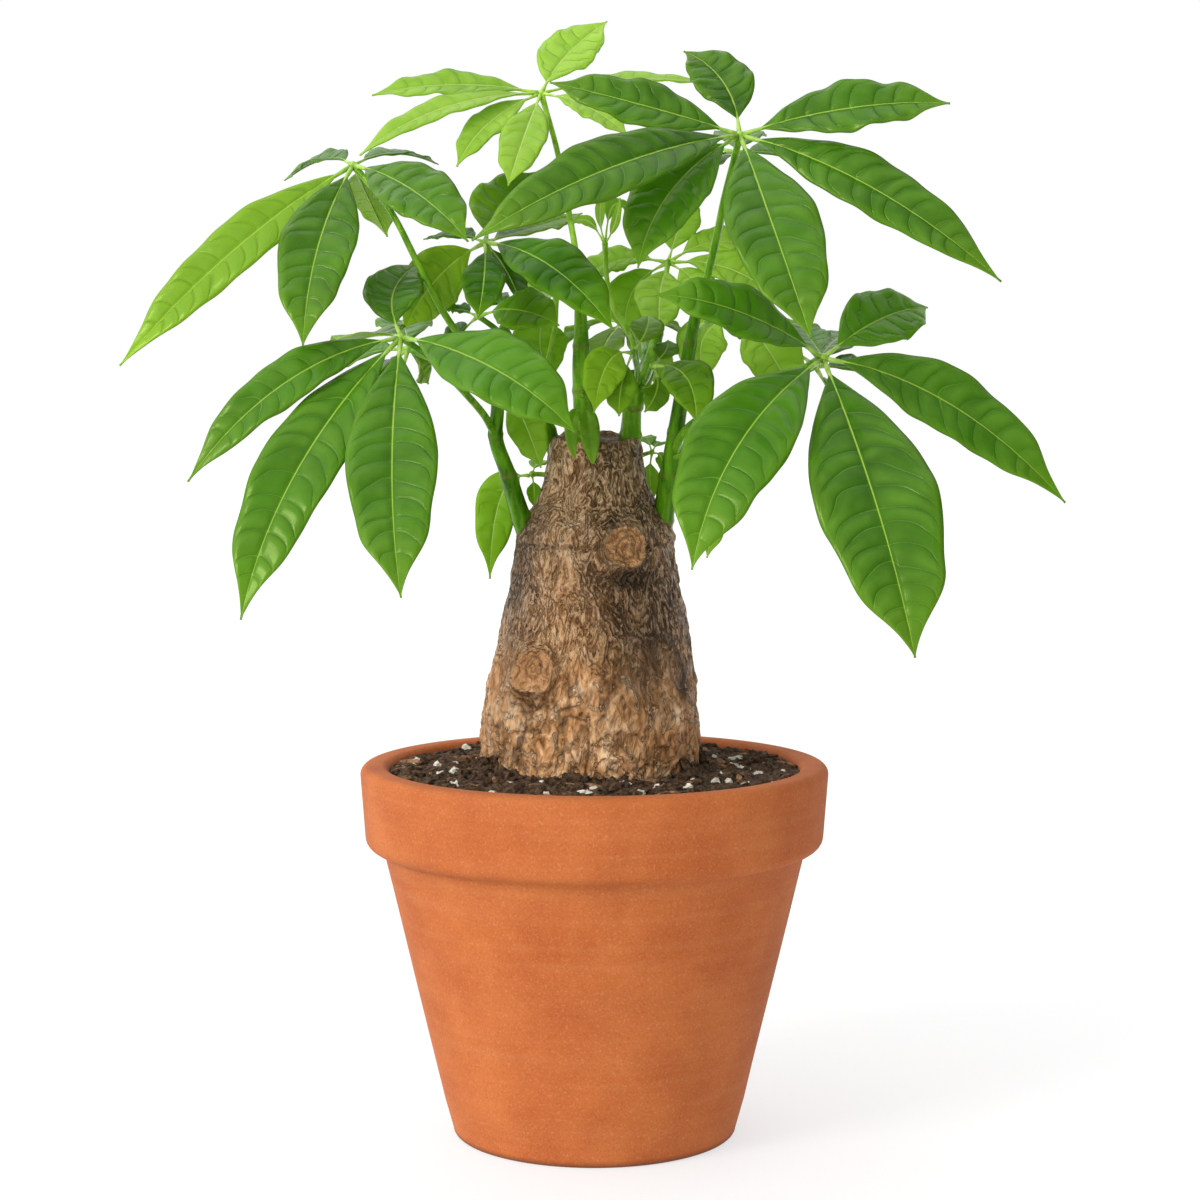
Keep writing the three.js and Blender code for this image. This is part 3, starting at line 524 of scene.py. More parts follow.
def makeStump():
    s = stump
    noise.seed_set(s["seed"])  # without it noise_vector gives other values in each run
    bm = bmesh.new()
    names = ("relief", "away", "swirl", "cut", "tanAndSheen", "paintedShade")
    layers = {key: bm.verts.layers.float.new(key) for key in names}
    grid = bmesh.ops.create_grid(bm, x_segments=s["around"], y_segments=s["up"], size=1)["verts"]
    for vert in grid:
        angle = vert.co.x * math.pi
        climb = (vert.co.y + 1) / 2
        side = clamp(climb / (1 - s["capShare"]))
        side = side * 4 if side < 0.05 else 0.2 + 0.8 * (side - 0.05) / 0.95  # few rows under the soil
        inward = clamp((climb - (1 - s["capShare"])) / s["capShare"])
        z = s["footZ"] + (s["topZ"] - s["footZ"]) * side
        base = stumpRadius(z)
        x, y = polar(base, angle)
        swell = (0.8 * math.sin(2 * angle + z * 0.02) + 0.6 * math.sin(3 * angle - z * 0.05)) * s["swell"]
        ridges = s["ridge"] * math.sin(11 * angle + 2 * math.sin(z * 0.09)) * math.sin(z * 0.21 + 3 * angle)
        spot = Vector((x, y, z)) * mm
        lump = s["lump"] * noise.noise(spot * 45)
        scarMask, nearest, swirl, collar, hollow, trench = 0.0, 3.0, 0.0, 0.0, 0.0, 0.0
        for one in scars:
            offset = spot - one["spot"]
            away = offset.length / (one["radius"] * mm)
            if away > 4:
                continue
            around = math.atan2(offset.z, offset.x)
            wobble = away * (1 + one["uneven"] * (noise.noise(spot * 130) + 0.4 * math.sin(3 * around + 1)))
            inside = 1 - smoothStep(0.84, 0.98, wobble)
            lip = bell((wobble - 0.97) / 0.13)
            # the moat round a scar is a real groove; through trench it is also darkened as painted shade
            moat = bell((wobble - 1.24) / 0.1) + 0.5 * bell((wobble - 1.6) / 0.1)
            trench = max(trench, moat)
            collar += one["rise"] * (1 - smoothStep(0.75, 1.9, wobble)) - 0.8 * inside + 0.8 * lip
            collar += 0.6 * noise.noise(spot * 260) * inside - moat * (0.7 + noise.noise(spot * 120))
            # the hollow under a scar is a real dent, and it is also darkened as painted shade
            drop, across = offset.z / mm + one["radius"] * 1.55, offset.x / mm / one["radius"]
            below = bell(drop / 3) * bell(across / 1.25) * one["hollow"]
            hollow = max(hollow, below)
            scarMask = max(scarMask, inside)
            nearest = min(nearest, wobble)
            swirl += 5.5 * math.exp(-1.3 * max(0.0, wobble - 0.9))
        detail = barkRelief(x, y, z, spot) * (1 - 0.75 * scarMask)
        # a crease across the front of the shoulder, also darkened as painted shade, and a torn ledge on both
        # its sides
        crease = bell((z - s["creaseZ"] - 1.2 * noise.noise(spot * 90)) / 0.9)
        crease *= smoothStep(0.1, -0.5, math.sin(angle))
        ledge = bell((z - s["ledgeZ"]) / 2) * smoothStep(0.6, 0.95, abs(math.cos(angle)))
        torn = ledge * (0.4 + 2.2 * noise.noise(spot * 200))
        push = swell + ridges + collar + detail + lump + torn - hollow - 0.8 * crease
        radius = base + push * min(1, base / 20)
        rim = noise.noise(Vector((*polar(4, angle), 4)))
        if inward > 0:
            radius *= 1 - inward
            z += 1.1 * rim * (1 - inward) - 1.3 * smoothStep(0.02, 0.2, inward)
            z += 0.5 * noise.fractal(Vector((*polar(radius, angle), 3)) * 0.28, 1, 2, 3)
            vert[layers["cut"]] = smoothStep(0.03, 0.14, inward)
        elif side > 0.985:
            z += 1.1 * rim * (side - 0.985) / 0.015
        lean = s["footX"] + (s["topX"] - s["footX"]) * side
        tilt = s["topTilt"] * radius * math.sin(angle) * smoothStep(0.94, 1.0, side)
        # painted shadow below the upper scar, pale towards the soil, a painted highlight down the front,
        # painted shade down the left edge
        shadow = bell((x - s["shadowX"]) / 15) * bell((z - s["shadowZ"]) / 24)
        shadow *= 1 if y < 0 else 0.3
        pale = 1 - smoothStep(s["paleBelow"], s["darkAbove"], z + 26 * noise.noise(spot * 40) + 0.34 * x)
        front = smoothStep(0.2, -0.4, y / base)
        # a pale band down the front: a painted highlight
        wearAndSheen = s["wearAndSheen"] * bell((x - s["sheenX"] + 5 * noise.noise(spot * 60)) / 10) * front
        leftEdgeShade = smoothStep(-16, -34, x) * (0.35 + 0.35 * smoothStep(190, 215, z))
        leftEdgeShade *= 1 - smoothStep(228, 245, z)
        vert[layers["relief"]] = clamp(0.5 + detail / 1.9)
        vert[layers["away"]] = nearest
        vert[layers["swirl"]] = swirl
        lipOfCut = smoothStep(0.96, 1.0, side)
        vert[layers["tanAndSheen"]] = clamp(pale + wearAndSheen + 0.5 * nearScar(spot) + 0.3 * ledge + 0.6 * lipOfCut)
        # painted shade: the shadow below the upper scar, the left edge, and the darkening in the scar
        # hollows, the shoulder crease and the moats
        vert[layers["paintedShade"]] = clamp(0.8 * shadow + leftEdgeShade + 0.45 * hollow + 0.6 * crease + 0.4 * trench)
        vert.co = Vector((radius * math.cos(angle) + lean, radius * math.sin(angle), z + tilt)) * mm
    bmesh.ops.remove_doubles(bm, verts=bm.verts, dist=1e-6)
    bmesh.ops.holes_fill(bm, edges=[e for e in bm.edges if e.is_boundary], sides=0)
    return finishPiece("swollenStump", bm, [bark], ["trunk"])


makeStump()
print("stump made")

# soil
# crumbs, chips, perlite and heap are counts; the rings are radii in mm
soil = dict(edgeZ=139.3, mound=2.6, inner=36.0, outer=79.5, crumbs=1900, chips=210, perlite=125,
            ring=(44, 76.5), heap=430, heapRing=(41.5, 47), heapMm=6.5, seed=11)


def soilHeight(x, y):
    r = math.hypot(x, y)
    share = clamp(r / 78.5)
    z = soil["edgeZ"] + soil["mound"] * (1 - share) * 1.4 + 0.4
    return z + 1.5 * noise.fractal(Vector((x, y, 7)) * 0.12, 1.0, 2.0, 4)


def addLump(bm, rng, level, size):
    made = bmesh.ops.create_icosphere(bm, subdivisions=level, radius=size * mm)["verts"]
    for vert in made:
        vert.co *= rng.uniform(0.62, 1.25)
    return made


def setDown(bm, made, angle, radius, lift):
    x, y = polar(radius, angle)
    bmesh.ops.translate(bm, verts=made, vec=Vector((x, y, soilHeight(x, y) + lift)) * mm)


def makeSoil():
    rng = random.Random(soil["seed"])
    bm = bmesh.new()
    grid = bmesh.ops.create_grid(bm, x_segments=240, y_segments=40, size=1)["verts"]
    for vert in grid:
        angle = vert.co.x * math.pi
        share = (vert.co.y + 1) / 2
        radius = soil["inner"] + (soil["outer"] - soil["inner"]) * share
        x, y = polar(radius, angle)
        z = soilHeight(x, y) + 0.6 * noise.noise(Vector((x, y, 1)) * 0.6)
        vert.co = Vector((x, y, z)) * mm
    bmesh.ops.remove_doubles(bm, verts=bm.verts, dist=1e-6)
    bmesh.ops.solidify(bm, geom=bm.faces[:], thickness=1.5 * mm)
    finishPiece("soilSurface", bm, [peat])
    # name, material, count, roundness, range of sizes in mm, stretch
    kinds = (
        ("peatCrumbs", peat, soil["crumbs"], 1, (0.8, 3.2), (1.4, 0.75, 0.65)),
        ("barkChips", barkChip, soil["chips"], 1, (1.4, 3.4), (1.9, 0.6, 0.4)),
        ("perliteGrains", perlite, soil["perlite"], 2, (0.8, 2.5), (1, 1, 0.9)),
    )
    near, far = soil["ring"]
    for name, material, count, level, sizes, stretch in kinds:
        bm = bmesh.new()
        for _ in range(count):
            angle = rng.uniform(0, math.tau)
            radius = math.sqrt(rng.uniform(near**2, far**2))
            size = rng.uniform(*sizes)
            made = addLump(bm, rng, level, size)
            for vert in made:
                vert.co = Vector(c * k for c, k in zip(vert.co, stretch))
            turn = Vector([rng.uniform(-1, 1) for _ in range(3)]).to_track_quat("Z", "Y")
            bmesh.ops.rotate(bm, verts=made, cent=(0, 0, 0), matrix=turn.to_matrix())
            setDown(bm, made, angle, radius, size * rng.uniform(0.1, 0.6))
        if name == "peatCrumbs":
            for _ in range(soil["heap"]):  # clods heaped against the foot of the stump
                angle = rng.uniform(0, math.tau)
                radius = rng.uniform(*soil["heapRing"])
                lie = noise.noise(Vector((*polar(3, angle), 2)))
                made = addLump(bm, rng, 1, rng.uniform(1.2, 2.8))
                setDown(bm, made, angle, radius, rng.uniform(0, soil["heapMm"] * max(0.0, 0.35 + lie)))
        finishPiece(name, bm, [material]).data.shade_flat()


makeSoil()
print("soil made")

# shoots
# a place is a pixel of the photograph and a depth behind the pot's axis in mm, and radii are in mm
shoots = dict(
    left=[dict(radii=(3.9, 1.9), route=[
        (530, 538, -4), (521, 516, -6), (508, 474, -8), (496, 438, -11), (497, 402, -14), (484, 366, -19)])],
    top_left=[dict(radii=(2.9, 1.6), route=[
        (556, 452, 4), (547, 425, 4), (533, 388, 3), (516, 352, -3), (503, 326, -10)])],
    front=[dict(radii=(4.6, 2.2), route=[
        (589, 456, -7), (587, 436, -8), (583, 402, -11), (581, 368, -13), (581, 330, -13), (580, 304, -12)])],
    top_right=[
        dict(radii=(4.4, 3.0), route=[(630, 456, 4), (631, 428, 1), (632, 404, 0), (629, 370, 0)]),
        dict(radii=(3.5, 2.0), route=[(632, 410, 0), (643, 384, -2), (652, 356, 4), (659, 328, 14)]),
    ],
    right=[dict(radii=(4.2, 1.8), route=[
        (658, 540, -2), (664, 512, -4), (671, 462, -8), (677, 425, -10), (686, 370, -12), (694, 322, -14),
        (706, 282, -16)])],
    back=[dict(radii=(3.2, 1.8), route=[
        (628, 462, 8), (630, 436, 15), (634, 408, 25), (641, 382, 36), (647, 352, 48)])],
)
joint = dict(apartMm=17, wide=0.075, swell=0.11, flare=0.16)


def makeShoot(name, stems):
    # a stem has joints, each a swollen ring with a corky leaf scar on one side, and flares at its foot
    bm = bmesh.new()
    for index, stem in enumerate(stems):
        path, length = smoothPath([seenAt(p) for p in stem["route"]], 84)
        start, end = (r * mm for r in stem["radii"])

        def ringAt(t, length=length, index=index):
            along = t * length / (joint["apartMm"] * mm) + index * 0.4
            return bell((along % 1 - 0.5) / joint["wide"])

        def radiusAt(t, angle, start=start, end=end, index=index, ringAt=ringAt):
            flare = joint["flare"] * bell(t / 0.07) if index == 0 else 0
            waver = 0.035 * math.sin(4 * angle + t * 11) + 0.03 * math.sin(7 * angle - t * 5)
            return (start + (end - start) * t) * (1 + joint["swell"] * ringAt(t) + flare + waver)

        def corkAt(t, angle, length=length, ringAt=ringAt):
            turn = 2.4 * round(t * length / (joint["apartMm"] * mm))
            scar = ringAt(t) ** 2 * smoothStep(-0.3, 0.9, math.cos(angle - turn))
            return clamp(0.75 * scar + 0.5 * math.exp(-t / 0.05))

        growTube(bm, path, radiusAt, 24, corkAt=corkAt)
    # the front and top_right shoots take the lighter green stalk skin: partly their younger green, partly
    # painted light that lifts the shade on them
    skin = matureStalk if name in ("front", "top_right") else shootSkin
    return finishPiece("greenShoot_" + name, bm, [skin], ["shoot_" + name])


for name, stems in shoots.items():
    makeShoot(name, stems)
print("shoots made")

# leaves
# places are as in the shoots; a leaflet is its tip and middle, width in mm and tilt in degrees, then what it
# has of its own: tone and fresh (0 to 1), wave in mm, or strap for one with parallel sides; the tone is the
# blade's green and also painted light, lighter for leaves towards the light and raised on shaded leaflets,
# and fresh is new growth and also painted light coming through
leaves = dict(
    crown=dict(
        young=True, tone=0.56, hub=(541, 93, 30),
        stalk=[(580, 312, -13), (577, 262, -3), (569, 213, 8), (557, 150, 20)],
        leaflets=[
            ((607, 22, 62), (567, 56, 48), 23, 45), ((372, 96, 22), (452, 86, 27), 19, 35),
            ((360, 156, -4), (441, 110, 8), 14, 35), ((457, 167, -4), (489, 124, 12), 14, 45),
            ((508, 186, -12), (524, 138, 4), 18, 55), ((628, 137, 12), (588, 108, 20), 14, 35),
            ((708, 84, 55), (628, 80, 46), 13, 25)]),
    upper_right=dict(
        tone=0.47, hub=(740, 135, -30),
        stalk=[(705, 286, -16), (716, 240, -19), (724, 200, -23), (734, 160, -28)],
        leaflets=[
            ((684, 52, 2), (723, 83, -14), 23, 50),
            ((950, 104, -38), (850, 109, -36), 25, 50, dict(wave=1.4)),
            ((1001, 282, -62), (873, 189, -50), 25, 55, dict(wave=1)),
            ((811, 339, -100), (775, 233, -73), 34, 50),
            ((638, 268, -68), (671, 192, -52), 27, 50, dict(tone=1.1)),
            ((472, 241, -82), (607, 170, -72), 27, 55),
            ((550, 83, -27), (642, 106, -32), 23, 50, dict(wave=0.8))]),
    upper_left=dict(
        tone=0.6, hub=(353, 165, -15),
        stalk=[(486, 370, -18), (447, 318, -28), (421, 270, -28), (390, 210, -23)],
        leaflets=[
            ((285, 181, 18), (323, 160, 6), 18, 30),
            ((120, 366, -40), (234, 251, -32), 22, 55, dict(fresh=0.75)),
            ((303, 347, -78), (318, 248, -48), 28, 50), ((468, 242, -62), (414, 192, -42), 26, 50),
            ((387, 237, 26), (368, 198, 10), 18, 10, dict(fresh=1.0)),
            ((438, 165, 32), (396, 154, 14), 14, 20)]),
    lower_left=dict(
        tone=0.64, hub=(401, 337, -55),
        stalk=[(495, 436, -11), (486, 418, -18), (466, 394, -30), (432, 360, -46)],
        leaflets=[
            ((418, 265, -14), (393, 295, -40), 22, 60, dict(tone=0.5)),
            ((188, 482, -82), (285, 384, -73), 20, 50), ((241, 620, -112), (298, 470, -91), 29, 50),
            ((401, 598, -136), (392, 470, -102), 32, 45), ((575, 433, -100), (495, 370, -88), 31, 50),
            ((330, 352, 5), (369, 337, -25), 26, 20, dict(fresh=0.8))]),
    middle_left=dict(
        inner=True, tone=0.42, hub=(485, 242, -25),
        stalk=[(504, 328, -9), (500, 300, -14), (494, 270, -20)],
        leaflets=[
            ((538, 172, 24), (502, 204, 4), 24, 50, dict(fresh=0.35)),
            ((404, 330, 2), (438, 278, -10), 23, 84, dict(fresh=0.7)),
            ((478, 318, -62), (484, 280, -48), 16, 50), ((614, 331, -78), (552, 268, -57), 24, 50),
            ((424, 240, 6), (455, 236, -8), 14, 25),
            ((582, 214, 46), (536, 228, 20), 17, 25, dict(fresh=0.9)),
            ((522, 306, 8), (506, 270, -8), 16, 30)]),
    lower_right=dict(
        tone=0.52, hub=(823, 358, -50),
        stalk=[(672, 460, -8), (684, 432, -16), (720, 407, -24), (772, 385, -36)],
        leaflets=[
            ((655, 295, -76), (740, 313, -68), 23, 55, dict(tone=0.75)),
            ((927, 308, -14), (880, 320, -34), 26, 58, dict(tone=1.1)),
            ((1065, 503, -50), (950, 405, -50), 28, 55),
            ((915, 658, -128), (877, 508, -100), 44, 45, dict(tone=0.42)),
            ((692, 570, -116), (738, 447, -92), 36, 50), ((798, 322, 4), (809, 338, -22), 16, 25)]),
    back_right=dict(
        young=True, inner=True, tone=0.6, hub=(668, 262, 45),
        stalk=[(658, 332, 12), (663, 300, 27)],
        leaflets=[
            ((690, 198, 76), (679, 228, 62), 17, 30), ((776, 258, 62), (722, 243, 56), 20, 35),
            ((788, 311, 30), (735, 272, 38), 20, 40), ((716, 312, 28), (694, 282, 38), 15, 45),
            ((660, 334, 2), (660, 296, 27), 20, 45), ((626, 336, 36), (633, 292, 48), 19, 45),
            ((572, 284, 46), (618, 262, 50), 20, 30)]),
    hanging_right=dict(
        young=True, inner=True, tone=0.6, hub=(738, 312, 22),
        stalk=[(691, 340, -13), (708, 322, 4), (724, 314, 15)],
        leaflets=[
            ((708, 384, 4), (703, 340, 14), 20, 60), ((803, 412, 6), (769, 352, 14), 24, 50),
            ((750, 318, 66), (744, 304, 45), 18, 10), ((796, 334, 66), (768, 318, 44), 18, 20)]),
    inner_left=dict(
        inner=True, hub=(478, 316, -22),
        stalk=[(513, 347, -5), (497, 330, -16)],
        leaflets=[
            ((559, 326, -40), (518, 311, -32), 21, 50, dict(fresh=0.25)),
            ((446, 311, -18), (461, 311, -19), 13, 15), ((448, 372, -6), (458, 340, -12), 18, 40),
            ((498, 296, 40), (488, 300, 10), 16, 10)]),
    middle_back=dict(
        young=True, inner=True, tone=0.4, hub=(556, 297, 22),
        stalk=[(536, 396, 3), (548, 360, 12), (555, 325, 19)],
        leaflets=[
            ((552, 386, 16), (540, 338, 24), 22, 60), ((512, 302, 34), (534, 290, 30), 15, 30),
            ((548, 300, 84), (552, 290, 56), 18, 10)]),
    inner_front=dict(
        inner=True, hub=(633, 352, -32),
        stalk=[(632, 396, 0), (637, 374, -14)],
        leaflets=[
            ((594, 413, -44), (608, 364, -40), 16, 65, dict(fresh=0.7)),
            ((619, 416, -40), (622, 384, -40), 12, 60, dict(fresh=0.4)),
            ((648, 316, -8), (646, 332, -26), 13, 45, dict(fresh=0.4))]),
    inner_right=dict(
        inner=True, hub=(652, 366, -30),
        stalk=[(641, 388, -3), (648, 376, -16)],
        leaflets=[
            ((696, 424, -58), (686, 378, -48), 19, 50, dict(fresh=0.3)),
            ((668, 341, -16), (665, 353, -24), 10, 35, dict(fresh=0.3)),
            ((645, 412, -14), (657, 390, -20), 11, 60, dict(fresh=0.3))]),
    front_foot=dict(
        hub=(583, 396, -19),
        stalk=[(583, 389, -12), (583, 393, -16)],
        leaflets=[
            ((593, 464, -25), (589, 429, -24), 8, 70, dict(fresh=0.25, strap=True)),
            ((575, 458, -25), (572, 427, -24), 5.6, 70, dict(fresh=0.25, strap=True))]),
    hanging_left=dict(
        young=True, inner=True, hub=(503, 380, 4),
        stalk=[(533, 383, 2), (518, 376, 6)],
        leaflets=[
            ((541, 468, -6), (525, 424, -4), 15, 65), ((474, 392, 38), (486, 384, 24), 15, 30),
            ((522, 372, 54), (511, 370, 32), 15, 15)]),
    stump_left=dict(
        young=True, inner=True, tone=0.4, hub=(532, 474, 16),
        stalk=[(564, 484, 9), (547, 475, 17)],
        leaflets=[
            ((490, 579, 8), (501, 498, 14), 18, 65), ((534, 508, 14), (534, 490, 18), 6, 60),
            ((548, 462, 40), (538, 464, 28), 8, 20)]),
    stump_right=dict(
        young=True, hub=(652, 452, 16),
        stalk=[(633, 462, 14), (643, 455, 18)],
        leaflets=[
            ((653, 502, 13), (650, 476, 19), 8, 60), ((664, 476, 12), (661, 458, 18), 5, 60),
            ((664, 444, 36), (658, 444, 26), 7, 20), ((642, 438, 38), (647, 440, 28), 8, 20)]),
    small_right=dict(
        young=True, inner=True, hub=(705, 462, -32),
        stalk=[(672, 458, -8), (688, 455, -22)],
        leaflets=[
            ((707, 558, -40), (712, 510, -36), 12, 60), ((742, 500, -40), (726, 474, -38), 12, 50),
            ((722, 440, 8), (716, 446, -12), 12, 20)]),
    behind_lower_left=dict(
        hub=(408, 348, 70),
        stalk=[(545, 424, 5), (528, 420, 40), (474, 382, 62)],
        leaflets=[
            ((298, 388, 104), (350, 360, 88), 24, 30), ((328, 462, 112), (362, 398, 94), 28, 35),
            ((397, 500, 96), (396, 422, 90), 28, 45),
            ((428, 384, 88), (417, 362, 80), 15, 50, dict(fresh=0.9)),
            ((500, 384, 118), (455, 356, 96), 24, 30), ((400, 322, 134), (404, 326, 104), 24, 10)]),
    behind_lower_right=dict(
        hub=(815, 366, 54),
        stalk=[(675, 440, -9), (700, 430, 8), (750, 405, 30), (793, 378, 47)],
        leaflets=[
            ((716, 322, 92), (764, 334, 78), 22, 30), ((938, 408, 92), (876, 376, 76), 26, 30),
            ((868, 512, 98), (848, 434, 86), 32, 45), ((744, 462, 98), (772, 404, 84), 28, 40),
            ((850, 334, 138), (834, 342, 98), 24, 10)]),
    behind_top=dict(
        hub=(735, 152, 52),
        stalk=[(704, 292, -15), (716, 242, 8), (727, 196, 32)],
        leaflets=[
            ((852, 190, 92), (796, 160, 78), 24, 30), ((778, 262, 96), (760, 202, 84), 26, 40),
            ((688, 196, 104), (708, 164, 86), 22, 30), ((622, 168, 84), (676, 148, 74), 22, 25),
            ((742, 142, 132), (740, 138, 96), 22, 10)]),
    behind_middle=dict(
        inner=True, hub=(622, 322, 84),
        stalk=[(646, 358, 45), (640, 336, 64)],
        leaflets=[
            ((560, 352, 122), (590, 326, 106), 22, 20, dict(fresh=0.6)),
            ((588, 392, 134), (602, 350, 116), 20, 20, dict(fresh=0.6)),
            ((664, 398, 128), (648, 352, 110), 21, 20, dict(fresh=0.6)),
            ((690, 340, 118), (656, 322, 104), 22, 20, dict(fresh=0.6)),
            ((624, 296, 139), (624, 304, 116), 22, 5, dict(fresh=0.6))]),
)
blade = dict(thickMm=0.45, stalkMm=6.0, foldShare=0.16, veinMm=8.8, quiltMm=0.46, waveMm=1.1, ribMm=0.42,
             shoulder=0.3, paleMargin=0.2, paleTip=0.28)


def bladeShare(u, strap):
    # half width along the blade as a share of the widest: full shoulders, then a narrow drip tip;
    # a strap keeps its width for most of its length
    share = max(0.0, math.sin(math.pi * u ** (0.62 if strap else 0.87))) ** (0.6 if strap else 1.2)
    return share if strap else share * (1 + blade["shoulder"] * bell((u - 0.8) / 0.1))


def growLeaflet(bm, layers, hub, spec, rng, tone):
    tip, mid = seenAt(spec["tip"]), seenAt(spec["mid"])
    root = hub.lerp(mid, min(0.2, 1.1 * mm / (mid - hub).length))
    bend = mid * 2 - root * 0.5 - tip * 0.5
    width = spec["width"] * mm

    def ribAt(t):
        return root * (1 - t) ** 2 + bend * 2 * t * (1 - t) + tip * t**2

    length = sum((ribAt((i + 1) / 20) - ribAt(i / 20)).length for i in range(20))
    strap = spec.get("strap", False)
    rows, columns = (104, 20) if width > 22 * mm else (66, 14) if width > 13 * mm else (34, 8)
    stalk = min(0.2, blade["stalkMm"] * mm / length)
    lean = math.radians(spec["tilt"])
    facing = Vector((0, -math.sin(lean), math.cos(lean)))
    scale = min(1.0, width / (24 * mm))
    wave = max(spec.get("wave", 0), blade["waveMm"]) * mm * scale
    waveAt = [rng.uniform(0, math.tau) for _ in range(4)]
    pairs = length / (blade["veinMm"] * mm * (0.6 + 0.4 * scale))

    def frameAt(t):
        tangent = (ribAt(min(1, t + 0.01)) - ribAt(max(0, t - 0.01))).normalized()
        normal = (facing - tangent * facing.dot(tangent)).normalized()
        return ribAt(t), tangent, normal, normal.cross(tangent)

    spots = [frameAt(stalk + (1 - stalk) * i / rows) for i in range(rows + 1)]
    grid = bmesh.ops.create_grid(bm, x_segments=columns, y_segments=rows, size=1)["verts"]
    faces = list({f for vert in grid for f in vert.link_faces})
    for vert in grid:
        share, u = vert.co.x, (vert.co.y + 1) / 2
        place, tangent, normal, side = spots[round(u * rows)]
        out = abs(share)
        half = max(0.35 * mm, width / 2 * bladeShare(u, strap))
        # a side vein leaves the rib nearly square, then bends forward and loops along the edge
        forward = (0.62 * out**2 + 0.3 * out**6) * half / length
        loose = math.sin(u * 23 + waveAt[0 if share > 0 else 1]) + 0.7 * math.sin(u * 57 + waveAt[2])
        phase = (u - forward) * pairs + 0.13 * loose
        swell = scale * min(1, half / (5 * mm)) * smoothStep(0.0, 0.16, out)
        swell *= 1 - smoothStep(0.8, 0.97, out)
        swell *= smoothStep(0.0, 0.1, u) * (1 - smoothStep(0.78, 0.97, u))
        quilt = blade["quiltMm"] * mm * swell * abs(math.sin(math.pi * phase)) ** 0.7
        hand = 1 if share > 0 else 0
        ripple = math.sin(u * 19 + waveAt[hand]) + 0.5 * math.sin(u * 41 + waveAt[2 + hand])
        ripple *= wave * out**2.2 * math.sin(math.pi * u) * 0.75
        fold = blade["foldShare"] * half * (out - 0.35 * out**3) * 1.25
        vert.co = place + side * share * half + normal * (fold + quilt + ripple)
        vert[layers["side"]] = 1.0 if strap else out * half / (12 * mm) / (1 - 0.75 * u)
        vert[layers["veinPhase"]] = phase
        vert[layers["swell"]] = swell
        vert[layers["tone"]] = tone
        # paler at the margin and the tip: painted light coming through
        paler = blade["paleMargin"] * smoothStep(0.7, 1.0, out) + blade["paleTip"] * smoothStep(0.6, 1.0, u)
        vert[layers["fresh"]] = clamp(spec.get("fresh", 0.0) + paler)
    bmesh.ops.recalc_face_normals(bm, faces=faces)
    bmesh.ops.solidify(bm, geom=faces, thickness=blade["thickMm"] * mm)
    rib = [ribAt(i / 24 * 0.97) for i in range(25)]
    ribRadius = blade["ribMm"] * mm * (0.55 + 0.45 * scale)

    def ribRadiusAt(t, _):
        return ribRadius * (1 - 0.8 * t**0.8) + 0.5 * mm * scale * bell(t / 0.09) + 0.1 * mm

    if not strap:
        growTube(bm, rib, ribRadiusAt, 8, 1)


def makeLeaf(name, leaf, replaced):
    rng = random.Random(name)
    young = leaf.get("young", False)
    bm = bmesh.new()
    keys = ("side", "veinPhase", "swell", "tone", "fresh")
    layers = {key: bm.verts.layers.float.new(key) for key in keys}
    leaflets = [dict(*own, tip=tip, mid=mid, width=width, tilt=tilt)
                for tip, mid, width, tilt, *own in leaf["leaflets"]]
    largest = max(one["width"] for one in leaflets)
    thickness = (0.65 + largest * 0.016) * mm
    if "route" in leaf:
        points = [seenAt(p) for p in leaf["route"]]
        start, end = (r * mm for r in leaf["radii"])
    else:
        points = [seenAt(p) for p in [*leaf["stalk"], leaf["hub"]]]
        start, end = thickness * 1.25, thickness

    def stalkRadiusAt(t, _):
        return (start + (end - start) * t) * (1 + 0.3 * bell((1 - t) / 0.06))

    growTube(bm, smoothPath(points, 28)[0], stalkRadiusAt, 12, 2)
    hub = points[-1]
    knotRadius = end * (0.9 if leaflets[0].get("strap") else 1.35)
    knot = bmesh.ops.create_icosphere(bm, subdivisions=3, radius=knotRadius)["verts"]
    bmesh.ops.translate(bm, verts=knot, vec=hub)
    for face in {f for vert in knot for f in vert.link_faces}:
        face.material_index = 1 if largest > 20 else 2
    # the leaf's tone is its green and also painted light: lighter for leaves that face the light
    leafToneAndLight = leaf.get("tone", rng.uniform(0.4, 0.65))
    for spec in leaflets:
        growLeaflet(bm, layers, hub, spec, rng, spec.get("tone", leafToneAndLight + rng.uniform(-0.14, 0.14)))
    inner = leaf.get("inner", False)
    if young:
        materials = [innerYoungLeaf if inner else youngLeaf, youngRib, youngStalk]
    else:
        materials = [innerLeaf if inner else matureLeaf, matureRib, matureStalk]
    return finishPiece("leaf_" + name + "_fine", bm, materials, [replaced])


for name, leaf in leaves.items():
    makeLeaf(name, leaf, "leaf_" + name)
print("leaves made")

# the unopened leaves at the tip of the young shoot behind the middle
sprout = dict(
    young=True, inner=True, radii=(1.3, 0.9),
    route=[(640, 392, -1), (637, 366, 8), (632, 338, 16), (613, 306, 20), (607, 280, 22), (605, 244, 22)],
    leaflets=[
        ((573, 224, 26), (588, 222, 24), 5, 50),
        ((607, 184, 24), (600, 213, 22), 4, 50),
        ((620, 198, 20), (615, 224, 20), 3.6, 50),
        ((632, 216, 34), (614, 206, 30), 8, 40),
    ],
)
makeLeaf("sprout", sprout, "sprout")

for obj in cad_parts.values():
    if obj.name.split(".")[0] == "soil":
        obj.data.materials.clear()
        obj.data.materials.append(peat)

# floor, light and camera
studio = dict(floorM=14, floorShade=0.31, floorGlow=0.63, sun=1.5, sunSpread=0.36,
              skyLow=0.03, skyHigh=1.7, skyFrom=-0.35, skyBehind=1.1, behindWide=0.2,
              lightFrom=(-0.66, -0.55, 0.46), behindFrom=(0.1, 0.95, 0.3))


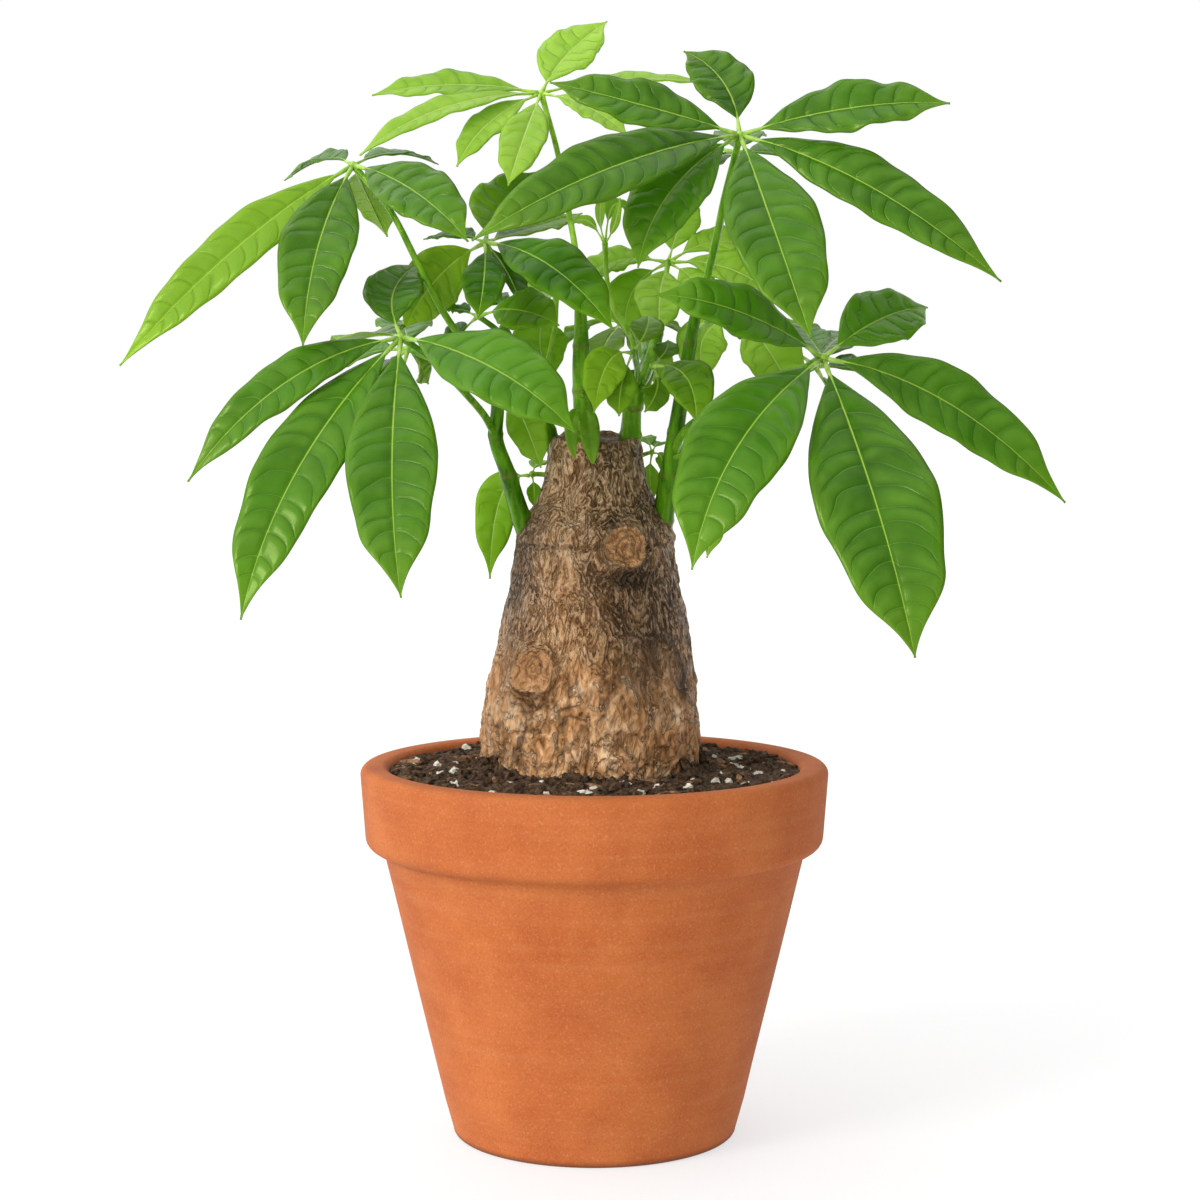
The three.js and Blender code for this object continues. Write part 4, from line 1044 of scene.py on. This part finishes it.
def makeStudio():
    bm = bmesh.new()
    bmesh.ops.create_grid(bm, x_segments=1, y_segments=1, size=studio["floorM"])
    # matte white paper that glows a little, so that it meets the white sky without a seam
    paper, _, shader = newMaterial("whitePaper")
    setInputs(shader, {"Base Color": (studio["floorShade"],) * 3 + (1,), "Roughness": 0.9,
                       "Emission Color": (1, 1, 1, 1), "Emission Strength": studio["floorGlow"]})
    floor = addMesh("studioFloor", bm, [paper])
    world = bpy.data.worlds.new("studioWorld")
    bpy.context.scene.world = world
    world.use_nodes = True
    # a sky brightest towards the light, with a weaker glow behind the plant that shines through its leaves;
    # it is pure white where the camera looks straight at it
    add = functools.partial(addNode, world.node_tree)
    toward = Vector(studio["lightFrom"]).normalized()
    behind = Vector(studio["behindFrom"]).normalized()
    heading = add("TexCoord", out="Generated")
    facing = add("VectorMath", {0: heading, 1: toward}, out="Value", operation="DOT_PRODUCT")
    sky = add("MapRange", {0: facing, 1: studio["skyFrom"], 3: studio["skyLow"], 4: studio["skyHigh"]})
    back = add("VectorMath", {0: heading, 1: behind}, out="Value", operation="DOT_PRODUCT")
    back = add("MapRange", {0: back, 1: studio["behindWide"], 4: studio["skyBehind"]})
    sky = add("Math", {0: sky, 1: back})
    seen = add("LightPath", out="Is Camera Ray")
    strength = add("Mix", {0: seen, 2: sky, 3: 1.0})
    setInputs(world.node_tree.nodes["Background"], {"Color": (1, 1, 1, 1), "Strength": strength})
    lamp = addObject("keySun", bpy.data.lights.new("keySun", "SUN"))
    lamp.data.energy = studio["sun"]
    lamp.data.angle = studio["sunSpread"]
    lamp.location = toward * 2
    lamp.rotation_euler = toward.to_track_quat("Z", "Y").to_euler()
    camera = addObject("photoCamera", bpy.data.cameras.new("photoCamera"))
    camera.data.lens = view["focal"] / view["frame"] * view["sensorMm"]
    camera.data.sensor_width = view["sensorMm"]
    camera.location = (view["x"], -view["distance"], view["height"])
    camera.rotation_euler = (math.radians(90 - view["pitch"]), 0, 0)
    bpy.context.scene.camera = camera
    bpy.context.scene.view_settings.view_transform = "Standard"


makeStudio()
print("studio made")
